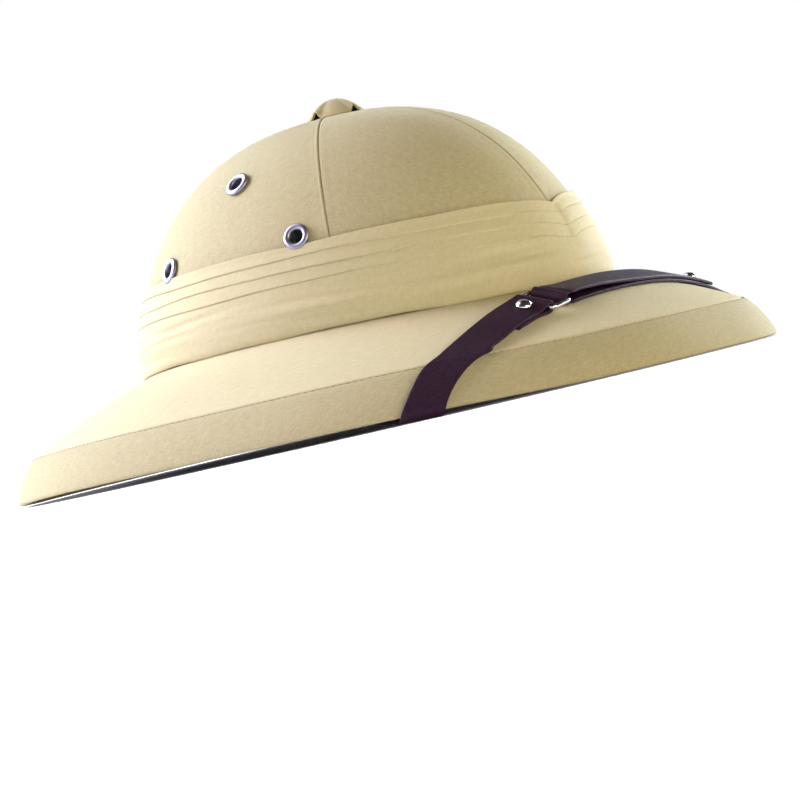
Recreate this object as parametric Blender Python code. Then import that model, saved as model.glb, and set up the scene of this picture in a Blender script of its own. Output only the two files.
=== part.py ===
# Pith helmet: a moulded pith shell under sewn cloth, with a chin strap laid over the front of the brim.
# The front of the hat faces -Y, the wearer's right is -X, and the hat rests on its rim at z = 0.
from math import acos, atan2, cos, degrees, hypot, pi, radians, sin

import bmesh
import bpy
from mathutils import Vector

# ---------------------------------------------------------------- driving dimensions (metres, degrees)
RIM_HALF_LENGTH = 0.172        # front to back, at the lower edge
RIM_HALF_WIDTH = 0.145
RIM_SQUARENESS = 2.35          # exponent of the rim's oval, 2 being an ellipse
SIDE_LIFT = 0.003              # how far the rim rises at the sides
FLAT_ARC = 25.5                # the rim lies flat this far each side of front and back
BAND_INSET = 0.0108            # from the lower edge in to the stitched top of the turned-down band
BAND_HEIGHT = 0.0182
BAND_BULGE = 0.0009

CROWN_HALF_LENGTH = 0.1087     # at the crown's base, outside the cloth
CROWN_HALF_WIDTH = 0.0908
CROWN_SET_BACK = -0.002        # the crown's centre, along Y
CROWN_BASE_Z = 0.0416
CROWN_BASE_SIDE_LIFT = 0.0043
DOME_HEIGHT = 0.095
DOME_ROUNDNESS = 0.80          # how the dome's rings shrink with the elevation angle
DOME_RISE = 1.10               # how they rise with it
BRIM_CAMBER = 0.0018

CLOTH = 0.0010
PITH = 0.0032
EDGE_PITH = 0.0018             # the shell is thinner where the binding wraps it
GAP = 0.0003                   # between neighbouring pieces

SIDE_SEAM = 66.0               # from the front, on each side
FRONT_PANEL_STEPS = 7
REAR_PANEL_STEPS = 13
PITH_SIDE_STEPS = 7            # the shell's side gores take this many of the rear panels' steps
DOME_ROWS = (0.0, 8.0, 17.0, 25.6, 36.0, 47.0, 58.0, 69.0, 79.5, 88.0)    # elevation angles
BRIM_ROWS = (0.34, 0.68)       # from the stitching in to the crown

BINDING_FOOT = 0.0053          # width of the rim's flat lower edge
BINDING_LIP = 0.0055           # height of the binding inside the rim
BINDING_LEAN = 0.0023          # how far the lip leans in over that height
BINDING_FOLD = 0.0016          # inset of the binding's inner corner at the rim
BINDING_LEG = 0.00115          # thickness of the lip, two turns of cloth pressed together
SHELL_EDGE_OUTSIDE = 0.0021    # insets of the shell's edge inside the binding
SHELL_EDGE_INSIDE = 0.0039
SHELL_EDGE_STATION = 0.9
LINING_HEM = 0.98              # the lining's edge, on the band
LINING_HEM_DEPTH = 0.0013      # how much deeper the lining sits there

PUGGAREE_ROWS = (              # height up the wrap, how far it stands off the crown
    # row on the crown, stand-off
    (0.10, 0.0032),
    (0.60, 0.0034),
    (1.30, 0.0027),
    (1.73, 0.0023),
    (1.77, 0.0031),
    (2.15, 0.0020),
    (2.19, 0.0028),
    (2.57, 0.0017),
    (2.61, 0.0025),
    (3.00, 0.0014),
)
PUGGAREE_PINCH = 0.2           # how much of a row the pleats dip at the front seam
PINCH_FROM_ROW = 1.5

CAP_Y = -0.0065                # the vent cap's centre, a little forward of the crown's
CAP_RADIUS = 0.0130
CAP_TOP_Z = 0.1432
CAP_WALL = 0.0013
CAP_LEGS = (35.0, 125.0, 215.0, 305.0)  # bearings from the front
CAP_LEG_WIDTH = 56.0
CAP_LEG_BLEND = 9.0
CAP_ARCH = 0.0030              # height of the openings between the legs
CAP_STEPS = 24

EYELET_BORE = 0.0030
EYELET_BARREL = 0.0034
EYELET_FLANGE = 0.00585
EYELET_BEARING = 97.1          # middle of each side's triangle of eyelets, from the front
EYELET_SPREAD = 22.7
EYELET_LOW_Z = 0.0852
EYELET_HIGH_Z = 0.1139
EYELET_SIDES = 14
EYELET_ROLL = 0.0016           # height of the rolled rim over the cloth
EYELET_SEAT = 0.0004
EYELET_TUCK = 0.0014           # the barrel's turned end, past the shell's inside
EYELET_HOLE_DEPTH = 0.012      # reach of the holes' cutters, in and out
EYELET_HOLE_RISE = 0.004
EYELET_NOTCH_DEPTH = 0.0008    # the wrap is trimmed this deep under an eyelet's rim

STRAP_WIDTH = 0.0165
STRAP = 0.0014                 # thickness of the leather
RIM_GAP = 0.0006               # between the leather and the rim it is pulled round
RING_WIRE = 0.0010             # radius of the chrome ring's wire
RING_X = -0.0500               # the ring's centre, where the two straps meet
RING_HALF_LENGTH = 0.0062
RING_CORNER = 0.0010
NEAR_RIVET_X = -0.0625
FAR_RIVET_X = 0.0755
NEAR_OUTER = (                 # the near strap's outer layer on its way to the ring
    # x, height of its underside over the cloth at the inner and at the outer edge
    (-0.1010, 0.0004, 0.0006),
    (-0.0962, 0.0007, 0.0008),
    (-0.0905, 0.0013, 0.0010),
    (-0.0850, 0.0020, 0.0014),
    (-0.0790, 0.0026, 0.0020),
    (-0.0720, 0.0031, 0.0021),
    (NEAR_RIVET_X, 0.0036, 0.0022),
    (-0.0590, 0.0038, 0.0029),
)
NEAR_TURN_BACK = (             # its layer turned back beneath, from the ring to its cut end
    (-0.0590, 0.0004, 0.0003),
    (NEAR_RIVET_X, 0.0019, 0.0005),
    (-0.0720, 0.0014, 0.0004),
    (-0.0775, 0.0010, 0.0003),
)
FAR_LAID = (0.1010, 0.0962, 0.0905)    # x of the far strap's single layer
FAR_OUTER = (                  # its layer turned back on top, from the ring to its cut end
    (-0.0400, 0.0036, 0.0047),
    (-0.0320, 0.0025, 0.0046),
    (-0.0220, 0.0021, 0.0040),
    (-0.0120, 0.0020, 0.0033),
    (0.0001, 0.0020, 0.0026),
    (0.0100, 0.0020, 0.0021),
    (0.0220, 0.0020, 0.0020),
    (0.0370, 0.0020, 0.0020),
    (0.0520, 0.0020, 0.0020),
    (0.0665, 0.0020, 0.0020),
    (FAR_RIVET_X, 0.0020, 0.0020),
    (0.0815, 0.0020, 0.0020),
)
RIVET_HEAD = 0.0032
RIVET_DOME = 0.0014
RIVET_SHANK = 0.0011
RIVET_SIDES = 10
RIVET_HOLE_DEPTH = 0.0026      # reach of its hole below the outer layer
ANCHOR_BEARING = 94.0          # where the strap's ends are pinned inside the crown
TAB_DEPTH = 0.0020             # middle of the strap's pinned end, inwards from the crown's wall
PIN_SHANK = 0.0015
PIN_SIDES = 8
PIN_REACH = 0.0023             # how deep the pin goes into the wall
PIN_HEAD = 0.0034
PIN_HEAD_DEPTH = 0.0010
PIN_HOLE_DEPTH = 0.006
TAB_BELOW_PIN = 0.0030         # the pinned end's reach below and above its pin
TAB_ABOVE_PIN = 0.0065
TURN_LEAD = (0.0, -0.010, -0.0055)      # where the strap starts to turn up into the crown, from the corner
TURN_START_GAP = 0.0015        # its clearance from that corner
TURN_LEAN = 0.35               # its lean there
TURN_END = (0.0, -0.001, 0.0004)
TURN_END_GAP = 0.0016
TURN_END_LEAN = 0.5

STRAP_ROUTE = (                # the strap's two edges over the brim, seen from above, on the left side
    # inner x, inner y, outer x, outer y
    (0.1075, -0.1040, 0.0945, -0.1230),
    (0.1000, -0.1054, 0.0925, -0.1233),
    (0.0920, -0.1070, 0.0887, -0.1238),
    (0.0840, -0.1083, 0.0840, -0.1245),
    (0.0720, -0.1098, 0.0735, -0.1258),
    (0.0620, -0.1110, 0.0635, -0.1268),
    (0.0450, -0.1130, 0.0460, -0.1291),
    (0.0300, -0.1143, 0.0305, -0.1306),
    (0.0150, -0.1150, 0.0152, -0.1315),
    (0.0000, -0.1152, 0.0000, -0.1317),
)
ROUTE_STEP = 0.001             # reach on either side of a place for the strap's direction there
RIM_CROSSING = (               # bearings of the strap's edges where it crosses the turned-down band
    # height on the band (0 at the lower edge), inner bearing, outer bearing
    (0.00, 58.4, 52.3),
    (0.50, 56.1, 49.7),
    (1.00, 53.1, 44.2),
)

KHAKI = (0.56, 0.49, 0.27)
KHAKI_WRAP = (0.60, 0.53, 0.29)
PITH_TAN = (0.52, 0.44, 0.30)
LINING_WHITE = (0.72, 0.71, 0.78)
LEATHER = (0.045, 0.018, 0.022)
CHROME = (0.75, 0.76, 0.78)
NICKEL = (0.55, 0.55, 0.53)


# ---------------------------------------------------------------- scene helpers
def clear_scene():
    for old in list(bpy.data.objects):
        bpy.data.objects.remove(old, do_unlink=True)


def make_material(name, colour, roughness, metallic=0.0):
    material = bpy.data.materials.new(name)
    material.use_nodes = True
    shader = material.node_tree.nodes["Principled BSDF"]
    shader.inputs["Base Color"].default_value = (*colour, 1.0)
    shader.inputs["Roughness"].default_value = roughness
    shader.inputs["Metallic"].default_value = metallic
    return material


def finish(name, mesh_data, material, smooth_angle=35.0):
    mesh = bpy.data.meshes.new(name)
    bmesh.ops.recalc_face_normals(mesh_data, faces=mesh_data.faces)
    if mesh_data.calc_volume(signed=True) < 0:
        bmesh.ops.reverse_faces(mesh_data, faces=mesh_data.faces)
    mesh_data.to_mesh(mesh)
    mesh_data.free()
    mesh.materials.append(material)
    mesh.shade_smooth()
    mesh.set_sharp_from_angle(angle=radians(smooth_angle))
    piece = bpy.data.objects.new(name, mesh)
    bpy.context.scene.collection.objects.link(piece)
    return piece


def loft(sections, closed):
    """Skin a run of closed sections, with quads split the same way in every layer."""
    data = bmesh.new()
    rings = [[data.verts.new(point) for point in section] for section in sections]
    count = len(rings[0])
    last = len(rings) if closed else len(rings) - 1
    for j in range(last):
        here, there = rings[j], rings[(j + 1) % len(rings)]
        for i in range(count):
            k = (i + 1) % count
            if i < count // 2:
                data.faces.new((here[i], there[i], there[k]))
                data.faces.new((here[i], there[k], here[k]))
            else:
                data.faces.new((here[k], there[k], there[i]))
                data.faces.new((here[k], there[i], here[i]))
    if not closed:
        for ring in (rings[0], rings[-1]):
            for i in range(count // 2 - 1):
                a, b = ring[i], ring[i + 1]
                c, d = ring[count - 2 - i], ring[count - 1 - i]
                data.faces.new((a, b, c, d))
    return data


def cut(piece, cutter):
    cutter.hide_render = True
    cutter.display_type = "WIRE"
    hole = piece.modifiers.new("hole", "BOOLEAN")
    hole.operation = "DIFFERENCE"
    hole.solver = "EXACT"
    hole.object = cutter


# ---------------------------------------------------------------- the hat's surface
def smooth_step(value):
    value = min(max(value, 0.0), 1.0)
    return value * value * (3 - 2 * value)


def rim_lift(t):
    flat = sin(radians(FLAT_ARC))
    return SIDE_LIFT * smooth_step((abs(sin(t)) - flat) / (1 - flat))


def rim_point(t):
    size = (abs(sin(t)) ** RIM_SQUARENESS + abs(cos(t)) ** RIM_SQUARENESS) ** (-1 / RIM_SQUARENESS)
    return Vector((RIM_HALF_WIDTH * size * sin(t), -RIM_HALF_LENGTH * size * cos(t), rim_lift(t)))


def rim_normal(t):
    step = 0.001
    along = rim_point(t + step) - rim_point(t - step)
    return Vector((-along.y, along.x, 0.0)).normalized() * -1


def band_point(t, height):
    """On the turned-down band: height 0 at the lower edge, 1 at the stitching."""
    inset = BAND_INSET * height - BAND_BULGE * sin(pi * height)
    return rim_point(t) - rim_normal(t) * inset + Vector((0, 0, BAND_HEIGHT * height))


def dome_point(t, elevation):
    shrink = cos(radians(elevation)) ** DOME_ROUNDNESS
    rise = sin(radians(elevation)) ** DOME_RISE if elevation > 0 else 0.0
    lift = CROWN_BASE_SIDE_LIFT * sin(t) ** 2 * (1 - rise)
    return Vector((
        CROWN_HALF_WIDTH * shrink * sin(t),
        CROWN_SET_BACK - CROWN_HALF_LENGTH * shrink * cos(t),
        CROWN_BASE_Z + DOME_HEIGHT * rise + lift,
    ))


def brim_point(t, inward):
    """On the brim: inward 0 at the stitching, 1 at the crown."""
    point = band_point(t, 1.0).lerp(dome_point(t, 0.0), inward)
    point.z += BRIM_CAMBER * sin(pi * inward) * (1 - 0.5 * inward)
    return point


def outer_stations(t):
    """The hat's outer surface on one bearing, from the rim's lower edge to the vent."""
    stations = [band_point(t, 0.0), band_point(t, 0.5), band_point(t, 1.0)]
    stations += [brim_point(t, inward) for inward in BRIM_ROWS]
    stations += [dome_point(t, elevation) for elevation in DOME_ROWS]
    return stations


STITCH = 2
BASE = STITCH + len(BRIM_ROWS) + 1
TOP = BASE + len(DOME_ROWS) - 1
ANCHOR_ROW = BASE + 0.8


def inward_directions(t):
    """The horizontal normal and the stations' mitred inward offsets for one bearing."""
    step = 0.001
    before, here, after = outer_stations(t - step), outer_stations(t), outer_stations(t + step)
    normals = []
    for low, high in zip(before, after):
        along = high - low
        normals.append(Vector((along.y, -along.x, 0.0)).normalized())
    slopes = []
    for i in range(len(here) - 1):
        run = (here[i + 1] - here[i]).dot(normals[i])
        rise = here[i + 1].z - here[i].z
        length = hypot(run, rise)
        slopes.append((-rise / length, run / length))
    offsets = []
    for i, normal in enumerate(normals):
        below = slopes[max(i - 1, 0)]
        above = slopes[min(i, len(slopes) - 1)]
        across, up = below[0] + above[0], below[1] + above[1]
        scale = 2 / (across * across + up * up)
        offsets.append(normal * (across * scale) + Vector((0, 0, up * scale)))
    return here, normals, offsets


class Bearing:
    """One bearing of the hat's surface, with its layers measured inwards from the cloth's outside."""

    def __init__(self, t):
        self.t = t
        self.outside, self.normals, self.inward = inward_directions(t)

    def at(self, station, depth):
        low = min(int(station), len(self.outside) - 2)
        share = station - low
        first = self.outside[low] + self.inward[low] * depth
        second = self.outside[low + 1] + self.inward[low + 1] * depth
        return first.lerp(second, share)

    def foot(self, inset, z):
        return rim_point(self.t) - rim_normal(self.t) * inset + Vector((0, 0, z))


def grid_bearings():
    front = [radians(SIDE_SEAM * i / FRONT_PANEL_STEPS) for i in range(FRONT_PANEL_STEPS)]
    rear_angle = 180.0 - SIDE_SEAM
    rear = [radians(SIDE_SEAM + rear_angle * i / REAR_PANEL_STEPS) for i in range(REAR_PANEL_STEPS)]
    left = front + rear
    right = [2 * pi - t for t in reversed(left[1:])]
    return left + [pi] + right


def shift(points, normal, distance):
    return [point + normal * distance for point in points]


# ---------------------------------------------------------------- the shell and its cloth
def slid(points, bearing, slide):
    """An edge's points moved round the hat by slide, to leave a seam's gap."""
    normal = bearing.normals[BASE]
    return shift(points, Vector((-normal.y, normal.x, 0.0)), slide)


def pith_section(bearing, slide):
    outer_depth = CLOTH + GAP
    inner_depth = outer_depth + PITH
    outside = [bearing.foot(SHELL_EDGE_OUTSIDE, outer_depth), bearing.at(SHELL_EDGE_STATION, outer_depth)]
    outside += [bearing.at(i, outer_depth) for i in range(STITCH, TOP + 1)]
    inside = [bearing.foot(SHELL_EDGE_INSIDE, outer_depth),
              bearing.at(SHELL_EDGE_STATION, outer_depth + EDGE_PITH)]
    inside += [bearing.at(i, inner_depth) for i in range(STITCH, TOP + 1)]
    return slid(outside + inside[::-1], bearing, slide)


def panel_section(bearing, slide):
    outside = [bearing.at(i, 0.0) for i in range(BASE, TOP + 1)]
    inside = [bearing.at(i, CLOTH) for i in range(BASE, TOP + 1)]
    return slid(outside + inside[::-1], bearing, slide)


def build_spans(spans, section, bearings, material):
    """One solid for each span of bearings, with half a gap left free at each of its ends."""
    pieces = {}
    for name, (first, last) in spans.items():
        sections = []
        for j in range(first, last + 1):
            slide = GAP / 2 if j == first else -GAP / 2 if j == last else 0.0
            sections.append(section(bearings[j % len(bearings)], slide))
        pieces[name] = finish(name, loft(sections, False), material)
    return pieces


def build_pith_shell(bearings, material):
    """The moulded shell, in six gores from the rim to the vent."""
    whole, half = len(bearings), len(bearings) // 2
    side = FRONT_PANEL_STEPS
    back = side + PITH_SIDE_STEPS
    spans = {
        "pith_front_left": (0, side),
        "pith_side_left": (side, back),
        "pith_rear_left": (back, half),
        "pith_rear_right": (half, whole - back),
        "pith_side_right": (whole - back, whole - side),
        "pith_front_right": (whole - side, whole),
    }
    return build_spans(spans, pith_section, bearings, material)


def build_crown_panels(bearings, material):
    whole, half = len(bearings), len(bearings) // 2
    side = FRONT_PANEL_STEPS
    spans = {
        "crown_front_left": (0, side),
        "crown_rear_left": (side, half),
        "crown_rear_right": (half, whole - side),
        "crown_front_right": (whole - side, whole),
    }
    return build_spans(spans, panel_section, bearings, material)


def build_brim_cover(bearings, material):
    sections = []
    for bearing in bearings:
        edge = bearing.normals[STITCH]
        outside = [bearing.at(i, 0.0) for i in range(STITCH, BASE + 1)]
        inside = [bearing.at(i, CLOTH) for i in range(STITCH, BASE + 1)]
        for run in (outside, inside):
            run[0] = run[0] - edge * (GAP / 2)
            run[-1] = run[-1] + edge * GAP
        sections.append(outside + inside[::-1])
    return finish("brim_cover", loft(sections, True), material)


def build_rim_binding(bearings, material):
    sections = []
    for bearing in bearings:
        edge = bearing.normals[STITCH]
        outside = [
            bearing.foot(BINDING_FOOT + BINDING_LEAN, BINDING_LIP),
            bearing.foot(BINDING_FOOT, 0.0),
            bearing.at(0, 0.0),
            bearing.at(1, 0.0),
            bearing.at(STITCH, 0.0) + edge * (GAP / 2),
        ]
        inside = [
            bearing.foot(BINDING_FOOT + BINDING_LEAN - BINDING_LEG, BINDING_LIP),
            bearing.foot(BINDING_FOOT - CLOTH, CLOTH),
            bearing.foot(BINDING_FOLD, CLOTH),
            bearing.at(1, CLOTH),
            bearing.at(STITCH, CLOTH) + edge * (GAP / 2),
        ]
        sections.append(outside + inside[::-1])
    return finish("rim_binding", loft(sections, True), material)


def build_brim_lining(bearings, material):
    outer_depth = CLOTH + GAP + PITH + GAP
    hem_depth = CLOTH + GAP + EDGE_PITH + LINING_HEM_DEPTH
    sections = []
    for bearing in bearings:
        outside, inside = [], []
        for station in (LINING_HEM, STITCH, STITCH + 1, STITCH + 2, BASE):
            depth = outer_depth if station >= STITCH else hem_depth
            outside.append(bearing.at(station, depth))
            inside.append(bearing.at(station, depth + CLOTH))
        sections.append(outside + inside[::-1])
    return finish("brim_lining", loft(sections, True), material)


def build_puggaree(bearings, material):
    sections = []
    for bearing in bearings:
        pinch = PUGGAREE_PINCH if abs(bearing.t) < 0.01 else 0.0
        outside = []
        for row, stand_off in PUGGAREE_ROWS:
            dip = pinch * smooth_step(row - PINCH_FROM_ROW)
            outside.append(bearing.at(BASE + row - dip, -stand_off))
        inner_rows = (PUGGAREE_ROWS[0][0], 1.0, 2.0, PUGGAREE_ROWS[-1][0] - pinch)
        inside = [bearing.at(BASE + row, -GAP) for row in inner_rows]
        sections.append(outside + inside[::-1])
    count = len(sections[0])
    data = bmesh.new()
    rings = [[data.verts.new(point) for point in section] for section in sections]
    for j, here in enumerate(rings):
        there = rings[(j + 1) % len(rings)]
        for i in range(count):
            k = (i + 1) % count
            data.faces.new((here[i], there[i], there[k]))
            data.faces.new((here[i], there[k], here[k]))
    return finish("puggaree", data, material, 25.0)


# ---------------------------------------------------------------- vent cap and eyelets
def crown_height(x, y):
    """Height of the crown's cloth at a point seen from above."""
    across, along = x / CROWN_HALF_WIDTH, (y - CROWN_SET_BACK) / CROWN_HALF_LENGTH
    elevation = degrees(acos(hypot(across, along) ** (1 / DOME_ROUNDNESS)))
    return dome_point(atan2(across, -along), min(elevation, DOME_ROWS[-1])).z


def cap_opening(angle):
    """0 on a leg and 1 in the middle of an opening."""
    nearest = 180.0
    for bearing in CAP_LEGS:
        nearest = min(nearest, abs((degrees(angle) - bearing + 180) % 360 - 180))
    return smooth_step((nearest - CAP_LEG_WIDTH / 2) / CAP_LEG_BLEND)


def build_vent_cap(material):
    profile = (
        # share of the radius, share of the height
        (1.00, 0.00),
        (0.93, 0.16),
        (0.74, 0.48),
        (0.45, 0.81),
        (0.14, 0.98),
    )
    data = bmesh.new()
    columns = []
    for j in range(CAP_STEPS):
        angle = 2 * pi * j / CAP_STEPS
        lift = GAP + CAP_ARCH * cap_opening(angle)
        column = []
        for thickness in (0.0, CAP_WALL):
            foot = crown_height(CAP_RADIUS * sin(angle), CAP_Y - CAP_RADIUS * cos(angle)) + lift
            for share, rise in profile:
                radius = (CAP_RADIUS - thickness) * share
                height = foot + (CAP_TOP_Z - thickness - foot) * rise
                column.append(Vector((radius * sin(angle), CAP_Y - radius * cos(angle), height)))
        columns.append([data.verts.new(point) for point in column])
    count = len(profile)
    crown = data.verts.new((0, CAP_Y, CAP_TOP_Z))
    under = data.verts.new((0, CAP_Y, CAP_TOP_Z - CAP_WALL))
    for j, here in enumerate(columns):
        there = columns[(j + 1) % CAP_STEPS]
        for i in range(count - 1):
            data.faces.new((here[i], there[i], there[i + 1], here[i + 1]))
            low, high = count + i, count + i + 1
            data.faces.new((here[high], there[high], there[low], here[low]))
        data.faces.new((here[count - 1], there[count - 1], crown))
        data.faces.new((there[2 * count - 1], here[2 * count - 1], under))
        data.faces.new((here[count], there[count], there[0], here[0]))
    return finish("vent_cap", data, material)


def eyelet_places():
    places = {}
    for side, mirror in (("right", -1), ("left", 1)):
        spots = (("front", -EYELET_SPREAD, EYELET_LOW_Z), ("top", 0.0, EYELET_HIGH_Z),
                 ("rear", EYELET_SPREAD, EYELET_LOW_Z))
        for spot, turn, z in spots:
            places[f"eyelet_{side}_{spot}"] = (mirror * radians(EYELET_BEARING + turn), z)
    return places


def crown_facet(panels, t, z):
    """Where the ray from inside at this bearing and height leaves the crown's cloth, and its normal."""
    low, high = 0.0, 80.0
    for _ in range(40):
        middle = (low + high) / 2
        if dome_point(t, middle).z < z:
            low = middle
        else:
            high = middle
    target = dome_point(t, low)
    best = None
    for panel in panels.values():
        found, place, normal, _ = panel.closest_point_on_mesh(target)
        distance = (place - target).length
        if found and (best is None or distance < best[0]):
            best = (distance, place, normal)
    outward = Vector((target.x, target.y - CROWN_SET_BACK, 0)).normalized()
    place, normal = best[1], best[2]
    if normal.dot(outward) < 0:
        normal = normal * -1
    return place, normal


def lathe(name, profile, place, normal, sides, material):
    """Turn a closed profile of (radius, height) round the normal at a place."""
    turn = normal.to_track_quat("Z", "Y")
    data = bmesh.new()
    rings = []
    for j in range(sides):
        angle = 2 * pi * j / sides
        around = Vector((cos(angle), sin(angle), 0))
        rings.append([data.verts.new(place + turn @ (around * radius + Vector((0, 0, height))))
                      for radius, height in profile])
    count = len(profile)
    for j, here in enumerate(rings):
        there = rings[(j + 1) % sides]
        for i in range(count):
            k = (i + 1) % count
            data.faces.new((here[i], there[i], there[k], here[k]))
    return finish(name, data, material)


def hole_cutter(name, place, normal, radius, below, above, sides=EYELET_SIDES):
    """A round cutter through a wall, reaching below and above the place."""
    data = bmesh.new()
    bmesh.ops.create_cone(data, cap_ends=True, segments=sides, radius1=radius, radius2=radius,
                          depth=above + below)
    turn = normal.to_track_quat("Z", "Y")
    for vertex in data.verts:
        vertex.co = place + turn @ (vertex.co + Vector((0, 0, (above - below) / 2)))
    cutter = finish(name, data, bpy.data.materials["pith_tan"])
    cutter.hide_render = True
    cutter.display_type = "WIRE"
    return cutter


def build_eyelets(panels, shell, puggaree, material):
    wall = CLOTH + GAP + PITH
    profile = (
        # radius, height over the cloth
        (EYELET_BORE, EYELET_ROLL * 0.56),
        (EYELET_BORE * 1.3, EYELET_ROLL),
        (EYELET_FLANGE * 0.86, EYELET_ROLL * 0.75),
        (EYELET_FLANGE, EYELET_SEAT),
        (EYELET_BARREL, EYELET_SEAT),
        (EYELET_BARREL, -wall - EYELET_TUCK * 0.70),
        (EYELET_BARREL * 1.3, -wall - EYELET_TUCK * 0.93),
        (EYELET_BORE, -wall - EYELET_TUCK),
    )
    for name, (t, z) in eyelet_places().items():
        place, normal = crown_facet(panels, t, z)
        lathe(name, profile, place, normal, EYELET_SIDES, material)
        hole = hole_cutter(f"{name}_hole", place, normal, EYELET_BARREL + GAP, EYELET_HOLE_DEPTH,
                           EYELET_HOLE_RISE)
        side = "left" if t > 0 else "right"
        cut(shell[f"pith_side_{side}"], hole)
        cut(panels[f"crown_rear_{side}"], hole)
        if z < EYELET_HIGH_Z:
            notch = hole_cutter(f"{name}_notch", place, normal, EYELET_FLANGE + GAP, EYELET_NOTCH_DEPTH,
                                EYELET_HOLE_RISE)
            cut(puggaree, notch)


# ---------------------------------------------------------------- chin strap
def surface_under(x, y):
    """Height of the brim's outer surface, and its normal, at a point seen from above."""
    t = atan2(x / RIM_HALF_WIDTH, -y / RIM_HALF_LENGTH)
    inward = 0.5
    for _ in range(60):
        point = brim_point(t, inward)
        step = 0.01
        along = (brim_point(t, inward + step) - point) / step
        around = (brim_point(t + step, inward) - point) / step
        dx, dy = x - point.x, y - point.y
        scale = along.x * around.y - along.y * around.x
        inward += (dx * around.y - dy * around.x) / scale
        t += (along.x * dy - along.y * dx) / scale
    normal = around.cross(along).normalized()
    if normal.z < 0:
        normal = normal * -1
    return point.z, normal


def route_edges(x):
    """The strap's inner and outer edge, seen from above, where its middle is at x."""
    mirror = -1 if x < 0 else 1
    rows = STRAP_ROUTE[::-1]
    target = abs(x)
    for low, high in zip(rows, rows[1:]):
        low_middle, high_middle = (low[0] + low[2]) / 2, (high[0] + high[2]) / 2
        if target <= high_middle + 1e-9:
            break
    share = (target - low_middle) / (high_middle - low_middle)
    row = [a + (b - a) * share for a, b in zip(low, high)]
    return (mirror * row[0], row[1]), (mirror * row[2], row[3])


def route_frame(x):
    """The brim's surface under the middle of the strap at x, its normal, and the way across the strap."""
    inner, outer = route_edges(x)
    middle = ((inner[0] + outer[0]) / 2, (inner[1] + outer[1]) / 2)
    z, normal = surface_under(*middle)
    across = Vector((outer[0] - inner[0], outer[1] - inner[1], 0))
    across = (across - normal * across.dot(normal)).normalized()
    return Vector((*middle, z)), normal, across


def strap_slant(x, across):
    """Sine of the angle between the way across the strap's section and its run."""
    ahead = route_frame(x + ROUTE_STEP)[0] - route_frame(x - ROUTE_STEP)[0]
    return across.cross(ahead.normalized()).length


def strap_section(x, inner, outer):
    """The leather's four corners over the brim at x, its two edges at heights above the cloth."""
    centre, normal, across = route_frame(x)
    tilted = (across * STRAP_WIDTH + normal * (outer - inner)).normalized()
    facing = (normal - tilted * normal.dot(tilted)).normalized()
    reach = tilted * (STRAP_WIDTH / 2 / strap_slant(x, across))
    low = centre + normal * ((inner + outer) / 2)
    high = low + facing * STRAP
    return [low - reach, high - reach, high + reach, low + reach]


def turned_over(section):
    return [section[1], section[0], section[3], section[2]]


def rim_sections(mirror):
    """The strap down the turned-down band and under the rim's edge."""
    sections = []
    for height, inner, outer in RIM_CROSSING[::-1]:
        corners = []
        for t in (inner, outer):
            bearing = Bearing(mirror * radians(t))
            corners.append([bearing.at(height * STITCH, -RIM_GAP - depth) for depth in (0.0, STRAP)])
        sections.append([corners[0][0], corners[0][1], corners[1][1], corners[1][0]])
    _, inner, outer = RIM_CROSSING[0]
    for inset, turn in ((RIM_GAP, -1), (BINDING_FOOT, 1)):
        corners = []
        for t in (inner, outer):
            bearing = Bearing(mirror * radians(t + degrees(inset / RIM_HALF_LENGTH)))
            under = bearing.foot(inset + turn * STRAP / 2, -RIM_GAP - STRAP)
            corners.append((bearing.foot(inset, -RIM_GAP), under))
        sections.append([corners[0][0], corners[0][1], corners[1][1], corners[1][0]])
    return sections


def anchor_frame(mirror):
    """A point of the crown's inner wall beside the ear, and the wall's outward normal there."""
    bearing = Bearing(mirror * radians(ANCHOR_BEARING))
    wall_depth = CLOTH + GAP + PITH
    low, high = bearing.at(ANCHOR_ROW - 0.5, wall_depth), bearing.at(ANCHOR_ROW + 0.5, wall_depth)
    up = (high - low).normalized()
    outward = bearing.normals[BASE]
    normal = (outward - up * outward.dot(up)).normalized()
    return bearing.at(ANCHOR_ROW, wall_depth), up, normal


def hidden_run(mirror):
    """The strap under the brim, straight from the rim to its pin inside the crown."""
    place, up, normal = anchor_frame(mirror)
    bearing = Bearing(mirror * radians(ANCHOR_BEARING))
    corner = bearing.at(BASE, CLOTH + GAP + PITH + GAP + CLOTH)
    tab = place - normal * TAB_DEPTH
    turn_start = corner - normal * TURN_START_GAP + Vector(TURN_LEAD)
    turn_end = corner - normal * TURN_END_GAP + Vector(TURN_END)
    stops = (
        # middle of the strap, the way its outer face looks
        (turn_start, Vector((mirror * TURN_LEAN, 0, 1)).normalized()),
        (turn_end, (normal + Vector((0, 0, TURN_END_LEAN))).normalized()),
        (tab - up * TAB_BELOW_PIN, normal),
        (tab + up * TAB_ABOVE_PIN, normal),
    )
    back = up.cross(normal) * mirror
    sections = []
    for middle, facing in stops:
        across = back * (STRAP_WIDTH / 2)
        half = facing * (STRAP / 2)
        sections.append([middle + across + half, middle + across - half, middle - across - half,
                         middle - across + half])
    return sections


def strap_solid(name, sections, material):
    data = bmesh.new()
    rings = [[data.verts.new(point) for point in section] for section in sections]
    for here, there in zip(rings, rings[1:]):
        for i in range(4):
            k = (i + 1) % 4
            data.faces.new((here[i], there[i], there[k]))
            data.faces.new((here[i], there[k], here[k]))
    data.faces.new(rings[0])
    data.faces.new(rings[-1])
    return finish(name, data, material, 40.0)


def ring_frame():
    """The ring's middle, the brim's normal, the way across the strap and the way along it."""
    surface, normal, across = route_frame(RING_X)
    along = across.cross(normal).normalized()
    if along.x < 0:
        along = along * -1
    return surface + normal * RING_HEIGHT, normal, across, along


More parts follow.
